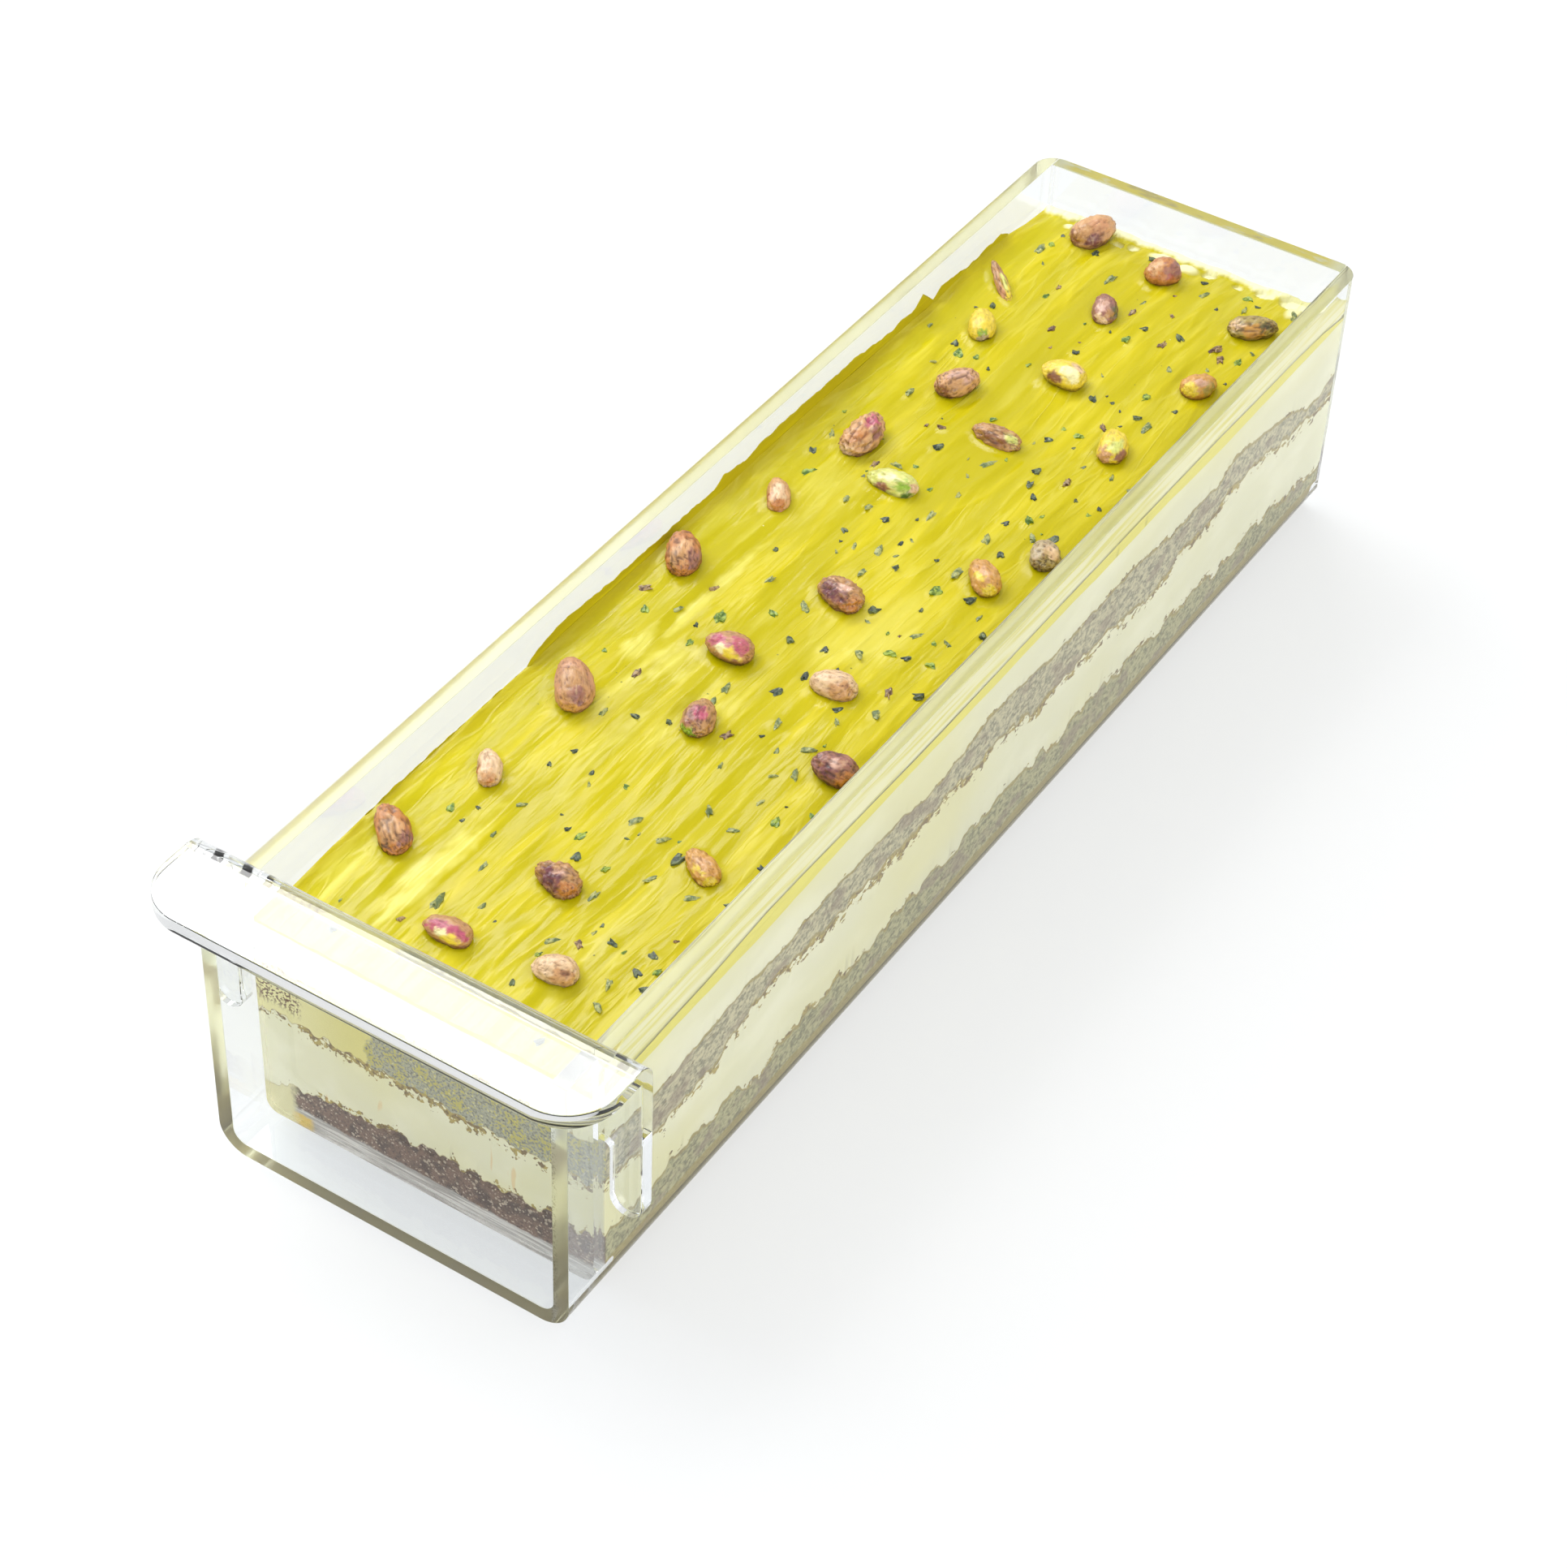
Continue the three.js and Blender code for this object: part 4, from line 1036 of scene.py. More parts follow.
def glaze_material(settings):
    """Glaze streaked along its strokes, pale where it is thin and rich along its left edge."""
    shader = Shader("glaze")
    across, along = shader.axis("X"), shader.axis("Y")
    shader.bend_patterns(60, 6.0, 1.0)
    stroke = shader.kept("stroke")
    veins = shader.grain(3.0, 2.0, (1, 12, 1), 2.0)
    broad = shader.grain(12, 2.0, (1, 4, 1), 5.0)
    cloudy = shader.grain(42, 1.0, (1, 1.6, 1), 8.0)
    ripples = shader.grain(3.2, 2.0, (1, 3.2, 1), 4.0)
    folds = shader.math("ABSOLUTE", shader.grain(5.5, 2.0, (1, 7, 1), 14.0) - 0.5).rise(0.06, 0.0)
    folds = folds * broad.rise(0.4, 0.56)
    # The glaze's own streaks follow its relief: darker in its low parts, partly painted shade, and lighter on
    # its ridges, partly painted highlight.
    troughs = (broad + veins * 0.5 + stroke * 0.12).rise(0.95, 0.6)
    streak_and_highlight = (veins + broad * 0.4 + stroke * 0.1).rise(0.72, 1.0)
    streak_and_highlight_tint = (*shaded(settings.body[:2], 1.16), 0.015)
    thin = (shader.kept("thin") + veins * 0.9 + cloudy * 0.3).rise(0.7, 1.5)
    thinner = (broad + cloudy + veins * 0.4).rise(1.3, 1.55) * along.rise(90.0, -60.0)
    drawn = (shader.grain(7, 3.0, (1, 9, 1), 21.0) + cloudy * 0.5).rise(0.83, 0.98)
    left_edge = (across + cloudy * 4).rise(-47.5, -51.5)
    dots = shader.pores(4.5, 3.0).rise(0.1, 0.05) * shader.grain(7, shift=30).rise(0.5, 0.55)
    # Pale flecks: specks of cream and painted glints of light.
    flecks_and_glints = shader.pores(5.5, 9.0).rise(0.08, 0.04) * shader.grain(9, shift=40).rise(0.5, 0.55)
    base = shader.mix(troughs * 0.6, settings.body, settings.deep).under(streak_and_highlight * 0.6, streak_and_highlight_tint)
    base = base.under(thin * 0.95 + thinner * 0.45 + drawn * 0.2, settings.pale)
    # Painted light brightens the glaze's right side face against the wall.
    base = base.under(left_edge * 0.75, GLAZE_RICH).under(across.rise(54.0, 54.6) * 0.8, GLAZE_SIDE_LIGHT)
    base = base.under(shader.kept("shade") * 0.35, settings.deep).under(shader.kept("cream"), CREAM_SHOWING)
    base = base.under(dots * 0.85, DOT_GREEN).under(flecks_and_glints * 0.8, FLECK_AND_GLINT)
    # Pale along the folds' crests: partly the pale streak colour, partly painted highlight.
    return shader.done(
        Base_Color=base.under(folds * 0.2, settings.pale), Roughness=0.2 + broad.rise(0.3, 0.7) * 0.12,
        Specular_IOR_Level=0.2, Subsurface_Weight=0.1, Subsurface_Scale=0.0015,
        Subsurface_Radius=(1.0, 0.85, 0.2),
        Normal=shader.bump(veins * 0.65 + ripples * 0.5 + folds * 0.25, 0.5))


class CAKE_OT_glaze(Operator):
    """Build the spread glaze with its spatula strokes and its torn back edge"""

    bl_idname = "cake.glaze"
    bl_label = "Build Glaze"

    def execute(self, context):
        settings = context.scene.cake_glaze
        piece = add_object("spread_glaze", glaze_mesh(Spread(settings), layer_faces()[-1]))
        finish_piece(piece, glaze_material(settings), (GLAZE,))
        return {"FINISHED"}


# Smears on the walls

FILM_ROWS = 6
FILM_STEP = 1.0 * MM
FILM_EDGE = 0.06 * MM
FILM_FOOT = 0.6 * MM
# The upper edge of the smear on the left wall: length from the tray's front edge, height.
LEFT_SMEAR = (
    (20, 76), (37, 77), (60, 79.5), (80, 80.6), (140, 80.8), (146, 83.7), (160, 86), (180, 84.5),
    (238, 84.3), (243, 86.7), (255, 84.5), (265, 86.5), (320, 86.3), (335, 84.3), (357, 84.6), (361, 87.6),
    (368, 81.4), (373, 84.5), (390, 82.2), (412, 83.5), (420, 79.5), (430, 77.5), (445, 76),
)
GLAZE_SMEAR = (0.44, 0.36, 0.002)
RIGHT_SMEAR = ((20, 86), (28, 91), (60, 92.4), (180, 91.6), (300, 92.6), (410, 91.8), (436, 90.5), (445, 84))


def film_mesh(name, stations, lows, highs, place, thickness):
    """A thin closed smear on a wall; place gives a point from a station, a depth and a height."""
    shares = np.linspace(0, 1, FILM_ROWS + 1)
    film = np.maximum(thickness * (1 - shares) ** 1.5, FILM_EDGE)
    points = [
        place(station, depth, low + (high - low) * share)
        for depths in (np.full(len(shares), -INTO_WALL), film)
        for station, low, high in zip(stations, lows, highs)
        for share, depth in zip(shares, depths)
    ]
    back, front = np.arange(len(points)).reshape(2, len(stations), len(shares))
    faces = []
    for i in range(len(stations) - 1):
        for j in range(FILM_ROWS):
            corners = ((i, j), (i + 1, j), (i + 1, j + 1), (i, j + 1))
            faces.append(tuple(back[corner] for corner in corners))
            faces.append(tuple(front[corner] for corner in reversed(corners)))
        for j in (0, FILM_ROWS):
            faces.append((back[i, j], back[i + 1, j], front[i + 1, j], front[i, j]))
    for i in (0, len(stations) - 1):
        for j in range(FILM_ROWS):
            faces.append((back[i, j], back[i, j + 1], front[i, j + 1], front[i, j]))
    mesh = mesh_from(name, points, faces)
    build = bmesh.new()
    build.from_mesh(mesh)
    bmesh.ops.recalc_face_normals(build, faces=build.faces)
    return built(build, mesh)


def smear_material(name, main, streak, share):
    """A thin smear whose streaks run along the wall."""
    shader = Shader(name)
    veins = shader.grain(1.6, 3.0, (1, 22, 1), 3.0)
    patches = shader.grain(14, 2.0, (1, 4, 1), 6.0)
    base = shader.mix((veins + patches * 0.5).rise(0.68, 0.95) * share, main, streak)
    return shader.done(Base_Color=base, Roughness=0.45, Normal=shader.bump(veins, 0.08))


class CAKE_OT_smears(Operator):
    """Build the smears of glaze on the left wall and of cream on the right wall"""

    bl_idname = "cake.smears"
    bl_label = "Build Smears"

    def execute(self, context):
        settings = context.scene.cake_smears
        glaze = context.scene.cake_glaze
        level = GlazeTop()
        ragged = Grain(81)
        stations = steps_between(FOOD_FRONT + INTO_WALL, FOOD_BACK - INTO_WALL, FILM_STEP)
        sides = (
            ("smear_left", -1, LEFT_SMEAR, smear_material("glaze_smear", GLAZE_SMEAR, glaze.body, 0.8)),
            ("smear_right", 1, RIGHT_SMEAR, smear_material("cream_smear", settings.cream, glaze.pale, 0.9)),
        )
        for name, side, knots, material in sides:
            edge = np.array(knots) * MM
            wall = side * FOOD_HALF
            foot = level.heights(np.full(len(stations), wall), stations) - FILM_FOOT
            crest = np.interp(stations - from_front(0), edge[:, 0], edge[:, 1])
            points = flat_points(stations / (6 * MM), np.full(len(stations), side * 50))
            crest = np.maximum(crest + settings.ragged * ragged.layered(points, 4, 0.6), foot + FILM_EDGE)
            mesh = film_mesh(
                name, stations, foot, crest,
                lambda y, depth, z: (wall - side * (INTO_WALL + depth), y, z), settings.thickness)
            finish_piece(add_object(name, mesh), material)
        return {"FINISHED"}


# Chopped bits

# A chip's shape as shares of its length: its lumps, width, height, and where it is cut flat.
CHIP_LUMPS = 0.75
CHIP_WIDTH = 0.5
CHIP_HEIGHT = 0.75
CHIP_FLAT = 0.34
BIT_APART = 1.5 * MM
BIT_CLEAR = 1.2 * MM
BIT_ACROSS = (-0.9 * FOOD_HALF, 0.92 * FOOD_HALF)
BIT_ALONG = (FOOD_FRONT + 6 * MM, FOOD_BACK - 10 * MM)
BIT_TURN = 0.6
BIT_SINK = 0.03
BIT_TILT = 0.25
BIT_UNEVEN = 0.9 * MM
BIT_PALE = colour(206, 204, 120)


def chip_mesh(name, seed):
    """An uneven chip one unit long, with flat sides, for the bits to be made from."""
    build = bmesh.new()
    bmesh.ops.create_icosphere(build, subdivisions=2, radius=0.5)
    grain = Grain(seed)
    for vertex in build.verts:
        vertex.co *= 1 + CHIP_LUMPS * grain.layered([tuple(vertex.co * 3.1)], 2)[0]
        vertex.co.x *= CHIP_WIDTH
        vertex.co.z = max(min(vertex.co.z, CHIP_FLAT), -CHIP_FLAT) * CHIP_HEIGHT
    return built(build, bpy.data.meshes.new(name))


SCATTER_INPUTS = (
    ("Points", "Geometry"), ("Chip", "Object"), ("Material", "Material"), ("Seed", "Int"), ("Tilt", "Float"),
    ("Uneven", "Float"),
)
# How much wider, longer and higher a chip may be than one of its length.
LEAST_STRETCH = (0.95, 1.05, 0.5)
MOST_STRETCH = (1.6, 1.3, 0.9)
CHIP_GRAIN = 1.3 * MM


def scatter_group():
    """Geometry nodes that set a chip at each point, by the point's length and turn."""
    group = bpy.data.node_groups.new("scatter chips", "GeometryNodeTree")
    for label, kind in SCATTER_INPUTS:
        group.interface.new_socket(label, in_out="INPUT", socket_type="NodeSocket" + kind)
    group.interface.new_socket("Chips", in_out="OUTPUT", socket_type="NodeSocketGeometry")
    tree = Tree(group)
    start = tree.node("NodeGroupInput")
    points, chip, material, seed, tilt, uneven = (tree.out(start, label) for label, _ in SCATTER_INPUTS)

    def scaled(vector, share):
        sockets = {"Vector": vector, "Scale": share}
        return tree.made("ShaderNodeVectorMath", "Vector", sockets, operation="SCALE")

    def drawn(low, high):
        sockets = {"Min": low, "Max": high, "Seed": seed}
        return tree.made("FunctionNodeRandomValue", "Value", sockets, data_type="FLOAT_VECTOR")

    def kept(name):
        return tree.made("GeometryNodeInputNamedAttribute", "Attribute", {"Name": name}, data_type="FLOAT")

    lean = scaled(drawn((-1, -1, 0), (1, 1, 0)), tilt)
    turned = tree.made("ShaderNodeCombineXYZ", "Vector", {"Z": kept("turn")})
    size = scaled(drawn(LEAST_STRETCH, MOST_STRETCH), kept("length"))
    form = tree.made("GeometryNodeObjectInfo", "Geometry", {"Object": chip, "As Instance": True})
    turn = tree.vectors("ADD", lean, turned)
    sockets = {"Points": points, "Instance": form, "Rotation": turn, "Scale": size}
    chips = tree.made("GeometryNodeInstanceOnPoints", "Instances", sockets)
    noise = tree.made("ShaderNodeTexNoise", "Color", {"Scale": 1 / CHIP_GRAIN})
    shift = scaled(tree.vectors("SUBTRACT", noise, (0.5, 0.5, 0.5)), uneven)
    for kind, sockets in (
            ("GeometryNodeRealizeInstances", {}),
            ("GeometryNodeSetPosition", {"Offset": shift}),
            ("GeometryNodeSetMaterial", {"Material": material})):
        chips = tree.made(kind, "Geometry", {"Geometry": chips, **sockets})
    tree.node("NodeGroupOutput", {"Chips": chips})
    return group


def scattered(name, group, points, values):
    """A piece made by a node group at points, each point with a length and a turn."""
    attributes = {"length": points[:, 3], "turn": points[:, 4]}
    piece = add_object(name, mesh_from(name, points[:, :3], [], attributes))
    modifier = piece.modifiers.new("Scatter", "NODES")
    modifier.node_group = group
    for item in group.interface.items_tree:
        if item.name in values:
            modifier[item.identifier] = values[item.name]
    modifiers_applied(piece)
    for label in attributes:
        kept = piece.data.attributes.get(label)
        if kept:
            piece.data.attributes.remove(kept)
    return piece


def bit_chance(x):
    """How likely a bit is kept, by its place across the cake: fewer lie on the left."""
    return 0.45 + 0.55 * smooth(x, -40 * MM, 10 * MM)


def bit_points(settings, spread):
    """Where the bits lie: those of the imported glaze, and small ones clear of the kernels."""
    random = np.random.default_rng(settings.seed)
    places = spread.base.bit_places()
    wanted = len(places) + settings.extra
    while len(places) < wanted:
        x = random.uniform(*BIT_ACROSS)
        y = random.uniform(*BIT_ALONG)
        length = random.uniform(settings.smallest ** 0.5, settings.largest ** 0.5) ** 2
        spread_out = all(math.hypot(x - a, y - b) > BIT_APART + (length + c) / 2 for a, b, c, _ in places)
        clear = all(
            math.hypot(x - form.centre[0], y - form.centre[1]) > form.half_length + BIT_CLEAR
            for form in spread.forms)
        if spread_out and clear and random.random() < bit_chance(x):
            places.append((x, y, length, random.normal() * BIT_TURN))
    x, y, length, turn = np.array(places).T
    top = spread.heights(x, y)
    return np.stack([x, y, top - BIT_SINK * length, length, turn], axis=1)


# Each kind's piece, its share of the bits, and its dark and its light colour.
CHIP_KINDS = (
    ("chopped_dark", 0.3, (colour(42, 56, 48), colour(98, 110, 74))),
    ("chopped_grey", 0.34, (colour(94, 110, 66), colour(162, 164, 96))),
    ("chopped_green", 0.26, (colour(78, 110, 36), colour(150, 170, 64))),
    ("chopped_brown", 0.1, (colour(92, 64, 48), colour(164, 136, 90))),
)


def chip_material(name, dark, light):
    shader = Shader(name)
    skin = shader.grain(1.4, 3.0, shift=2.0)
    pale = shader.grain(0.8, 2.0, shift=8.0).rise(0.64, 0.7)
    base = shader.mix(skin.rise(0.42, 0.6), dark, light).under(pale * 0.5, BIT_PALE)
    return shader.done(Base_Color=base, Roughness=0.42, Normal=shader.bump(skin, 0.15))


class CAKE_OT_bits(Operator):
    """Scatter the chopped pistachio bits over the glaze, one piece for each kind"""

    bl_idname = "cake.bits"
    bl_label = "Build Chopped Bits"

    def execute(self, context):
        settings = context.scene.cake_bits
        points = bit_points(settings, Spread(context.scene.cake_glaze))
        random = np.random.default_rng(settings.seed + 1)
        shares = np.array([share for _, share, _ in CHIP_KINDS])
        kinds = random.choice(len(CHIP_KINDS), len(points), p=shares / shares.sum())
        group = scatter_group()
        for number, (name, _, tones) in enumerate(CHIP_KINDS):
            chip = add_object("chip", chip_mesh("chip", 90 + number))
            material = chip_material(name, *tones)
            values = {
                "Chip": chip, "Material": material, "Seed": settings.seed + number, "Tilt": BIT_TILT,
                "Uneven": BIT_UNEVEN,
            }
            piece = scattered(name, group, points[kinds == number], values)
            finish_piece(piece, material)
            bpy.data.objects.remove(chip)
        return {"FINISHED"}


# The kernels

KERNEL_RINGS = 54
KERNEL_SIDES = 44
# A kernel's outline: how blunt its ends are, how much thinner its tip is, and its fullest girth.
KERNEL_BLUNT = 2.3
KERNEL_TAPER = 0.16
KERNEL_FULLEST = 1.05
# How finely the creases are patterned: cells to a half size, and how narrow a groove or vein is in one.
GROOVE_CELLS = (3.8, 0.8, 3.8)
VEIN_CELLS = (2.4, 2.0, 2.4)
PIT_CELLS = 6.5
LUMP_CELLS = 1.5
GROOVE_NARROW = 4.5
VEIN_NARROW = 5
# How far a patch of skin spreads for its reach, and how far its edge strays.
PATCH_SPREAD = 1.45
PATCH_RAGGED = 0.3

SHADES = {
    "peach": (206, 156, 104), "tan": (184, 136, 84), "ochre": (200, 146, 64), "orange": (188, 120, 58),
    "red": (160, 72, 48), "pink": (198, 142, 100), "lilac": (206, 162, 140), "mauve": (148, 96, 84),
    "purple": (112, 58, 66), "magenta": (182, 76, 104), "brown": (136, 86, 52), "dark": (72, 48, 38),
    "moss": (92, 88, 50), "olive": (160, 140, 72), "grey": (178, 160, 124), "beige": (224, 190, 148),
    "yellow": (226, 200, 50), "lime": (208, 212, 112), "green": (138, 172, 36), "leaf": (74, 112, 36),
    "cream": (238, 230, 170),
}
SKINS = {name: colour(*shade) for name, shade in SHADES.items()}
BARE = {"yellow", "lime", "green", "leaf", "cream"}

# The camera's right and up on the table, to place the skins' patches as they are seen.
SEEN_RIGHT = Vector((0.854, 0.519, 0.047)).normalized()
SEEN_UP = Vector((-0.38, 0.56, 0.737)).normalized()
SEEN_NEAR = SEEN_RIGHT.cross(SEEN_UP).normalized()

# How a skin is creased: grooves along, raised veins, pits, lumps.
STYLES = {
    "smooth": (0.45, 0.3, 0.1, 0.5),
    "furrowed": (1.2, 0.3, 0.1, 0.6),
    "veined": (0.4, 1.1, 0.2, 0.6),
    "pitted": (0.3, 0.4, 1.0, 0.5),
    "crumpled": (1.0, 0.9, 0.3, 1.4),
}

# Each kernel's style and main skin, then patches: skin, right, up, reach, as shares of its half size.
# Some pale patches are painted highlight where the light catches the skin: the peach of the second row, the
# cream of the eighth, the peach of the seventeenth and the lilac of the eighteenth, which the twins of the
# last two repeat.
LOOKS = (
    ("veined", "peach", ("pink", 0.3, 0.4, 0.35), ("tan", -0.5, -0.1, 0.35), ("purple", 0.15, -0.5, 0.24),
     ("brown", -0.85, -0.25, 0.2)),
    ("smooth", "orange", ("peach", -0.45, 0.45, 0.4), ("mauve", 0.6, 0.15, 0.42), ("red", 0.4, -0.3, 0.14)),
    ("furrowed", "tan", ("yellow", 0.55, -0.15, 0.5), ("lime", 0.3, 0.4, 0.25), ("pink", -0.5, -0.3, 0.3)),
    ("smooth", "mauve", ("lilac", -0.2, 0.45, 0.3), ("beige", -0.2, -0.6, 0.32), ("moss", 0.8, 0.05, 0.3),
     ("tan", 0.3, -0.2, 0.2)),
    ("smooth", "yellow", ("green", 0.05, -0.35, 0.17), ("grey", 0.1, -0.8, 0.32), ("dark", 0.5, -0.75, 0.15)),
    ("furrowed", "olive", ("beige", -0.75, 0.15, 0.28), ("ochre", 0.0, -0.3, 0.35), ("moss", 0.6, 0.1, 0.25)),
    ("furrowed", "peach", ("lilac", 0.15, 0.45, 0.42), ("tan", -0.1, -0.1, 0.3),
     ("brown", -0.55, -0.5, 0.32)),
    ("smooth", "yellow", ("cream", 0.2, 0.15, 0.35), ("brown", -0.65, -0.2, 0.22), ("beige", 0.6, 0.5, 0.2)),
    ("smooth", "ochre", ("yellow", -0.55, -0.2, 0.35), ("lilac", 0.15, 0.35, 0.24),
     ("olive", 0.65, -0.25, 0.3)),
    ("crumpled", "peach", ("orange", -0.05, 0.2, 0.2), ("magenta", 0.4, 0.8, 0.26), ("mauve", 0.8, 0.1, 0.26),
     ("beige", -0.55, -0.6, 0.3)),
    ("crumpled", "tan", ("brown", -0.3, 0.0, 0.35), ("lime", 0.5, 0.15, 0.25), ("leaf", 0.1, -0.9, 0.16)),
    ("smooth", "yellow", ("lime", 0.2, 0.3, 0.3), ("peach", -0.5, -0.45, 0.38), ("mauve", 0.55, -0.4, 0.22)),
    ("veined", "lime", ("cream", -0.1, 0.45, 0.3), ("green", 0.35, -0.1, 0.3), ("leaf", 0.35, -0.55, 0.16),
     ("mauve", -0.6, -0.4, 0.24), ("beige", 0.8, -0.15, 0.24)),
    ("smooth", "peach", ("beige", 0.1, 0.5, 0.35), ("orange", 0.15, -0.4, 0.35), ("red", -0.85, 0.1, 0.16)),
    ("furrowed", "grey", ("olive", 0.1, 0.1, 0.3), ("beige", 0.5, 0.3, 0.25)),
    ("veined", "ochre", ("yellow", 0.35, -0.6, 0.38), ("peach", 0.0, 0.5, 0.3), ("yellow", -0.4, 0.2, 0.2)),
    ("furrowed", "orange", ("peach", 0.15, 0.35, 0.32), ("tan", -0.3, 0.1, 0.3), ("mauve", 0.75, -0.1, 0.3),
     ("dark", -0.45, -0.5, 0.1)),
    ("crumpled", "tan", ("purple", -0.45, 0.2, 0.48), ("lilac", 0.1, 0.55, 0.18),
     ("orange", 0.45, -0.45, 0.38)),
    ("smooth", "tan", ("magenta", -0.55, 0.45, 0.32), ("magenta", 0.3, 0.2, 0.34),
     ("cream", -0.35, -0.1, 0.24), ("yellow", 0.0, -0.35, 0.2), ("brown", 0.3, -0.85, 0.25)),
    ("pitted", "beige", ("peach", 0.3, -0.3, 0.4), ("brown", 0.45, 0.0, 0.1)),
    ("pitted", "pink", ("tan", 0.1, 0.3, 0.5), ("mauve", 0.3, -0.1, 0.25), ("ochre", -0.1, -0.8, 0.3)),
    ("furrowed", "tan", ("mauve", -0.35, 0.4, 0.36), ("magenta", 0.05, 0.5, 0.22),
     ("green", -0.55, -0.6, 0.24)),
    ("smooth", "beige", ("peach", 0.1, -0.4, 0.4), ("orange", 0.15, -0.5, 0.14), ("red", -0.85, 0.1, 0.16)),
    ("furrowed", "mauve", ("purple", -0.3, 0.0, 0.35), ("lilac", 0.0, 0.5, 0.2), ("orange", 0.5, -0.5, 0.38)),
)
# The last five kernels look like five of those before them.
LOOKS += tuple(LOOKS[twin - 1] for twin in (17, 16, 18, 19, 20))


class KernelForm:
    """A kernel's own axes and half sizes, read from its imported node."""

    def __init__(self, node):
        points = node_points(node)
        apart = np.linalg.norm(points[:, None] - points[None], axis=2)
        first, last = np.unravel_index(apart.argmax(), apart.shape)
        tail, tip = points[first], points[last]
        forward = (tip - tail) / np.linalg.norm(tip - tail)
        self.centre = (tail + tip) / 2
        offset = points - self.centre
        along = offset @ forward
        girth = np.linalg.norm(offset - along[:, None] * forward, axis=1)
        if girth[along > 0].mean() > girth[along < 0].mean():
            forward = -forward
        side = np.cross(forward, (0, 0, 1))
        side /= np.linalg.norm(side)
        self.axes = np.stack([side, forward, np.cross(side, forward)])
        local = offset @ self.axes.T
        self.half_length = np.abs(local[:, 1]).max()
        self.bow = (local[:, 0].max() + local[:, 0].min()) / 2
        self.half_width = np.ptp(local[:, 0]) / 2
        self.rise = local[:, 2].max()
        self.drop = -local[:, 2].min()

    def world(self, local):
        return self.centre + local @ self.axes


def number_shift(seed):
    """A place of its own for each kernel, so that no two are wrinkled alike."""
    return np.array([math.sin(seed * turn) for turn in (12.9, 78.2, 37.7)])


def kernel_faces():
    """The faces of a kernel's rings, closed at its tail and its tip."""
    index = np.arange(KERNEL_RINGS * KERNEL_SIDES).reshape(KERNEL_RINGS, KERNEL_SIDES)
    tail, tip = index.size, index.size + 1
    faces = []
    for j in range(KERNEL_SIDES):
        after = (j + 1) % KERNEL_SIDES
        faces.append((tail, index[0, j], index[0, after]))
        for i in range(1, KERNEL_RINGS):
            faces.append((index[i - 1, j], index[i, j], index[i, after], index[i - 1, after]))
        faces.append((tip, index[-1, after], index[-1, j]))
    return faces


def kernel_ball():
    """Points round a kernel in its half sizes, ring by ring and thicker at its tail, then its two ends."""
    share = -np.cos(np.linspace(0, math.pi, KERNEL_RINGS + 2)[1:-1])
    angle = np.linspace(0, 2 * math.pi, KERNEL_SIDES, endpoint=False)
    shares, angles = (grid.ravel() for grid in np.meshgrid(share, angle, indexing="ij"))
    girth = np.sqrt(1 - np.abs(shares) ** KERNEL_BLUNT) * (1 - KERNEL_TAPER * shares) / KERNEL_FULLEST
    ball = np.stack([girth * np.cos(angles), shares, girth * np.sin(angles)], axis=1)
    return np.concatenate([ball, [[0, -1, 0], [0, 1, 0]]])


def kernel_relief(ball, style, grain):
    """How far the skin stands out, in wrinkle depths, and how creased and how veined it is."""
    groove_share, vein_share, pit_share, lump_share = STYLES[style]
    along = grain.layered(ball * GROOVE_CELLS, 2)
    across = grain.layered(ball * VEIN_CELLS + 9.0, 3, 0.55)
    grooves = np.clip(1 - np.abs(along) * GROOVE_NARROW, 0, 1) ** 1.3
    veins = np.clip(1 - np.abs(across) * VEIN_NARROW, 0, 1)
    pits = np.clip(grain.at(ball * PIT_CELLS + 3.0) - 0.2, 0, 1)
    lumps = np.abs(grain.layered(ball * LUMP_CELLS + 21.0, 2))
    relief = groove_share * (0.4 * along - grooves) + vein_share * (0.6 * veins + 0.5 * across)
    relief = relief - 2.2 * pit_share * pits + lump_share * (1 - 3.4 * lumps)
    return relief, np.clip(grooves * groove_share + 1.5 * pits * pit_share, 0, 1), veins * vein_share


def kernel_mesh(node, look, seed, wrinkle):
    """A kernel of its packed size: thicker at its tail, bowed, and creased in its own style."""
    form = KernelForm(node)
    grain = Grain(200 + seed)
    ball = kernel_ball()
    relief, creases, veins = kernel_relief(ball, look[0], grain)
    height = np.where(ball[:, 2] > 0, form.rise, form.drop)
    local = ball * (form.half_width, form.half_length, 1)
    local[:, 0] += form.bow * (1 - ball[:, 1] ** 2)
    local[:, 2] *= height
    outward = ball / np.linalg.norm(ball, axis=1)[:, None]
    points = form.world(local + outward * (wrinkle * relief)[:, None])
    tone, flesh = kernel_colours(look, outward @ form.axes, grain)
    attributes = {
        "tone": tone,
        "flesh": flesh,
        "crease": creases,
        "vein": veins,
        # Painted shade on the underside, towards the glaze.
        "under": smooth(ball[:, 2], 0.15, -0.4),
        "skin": local + 0.1 * number_shift(seed),
    }
    return mesh_from(node, points, kernel_faces(), attributes)


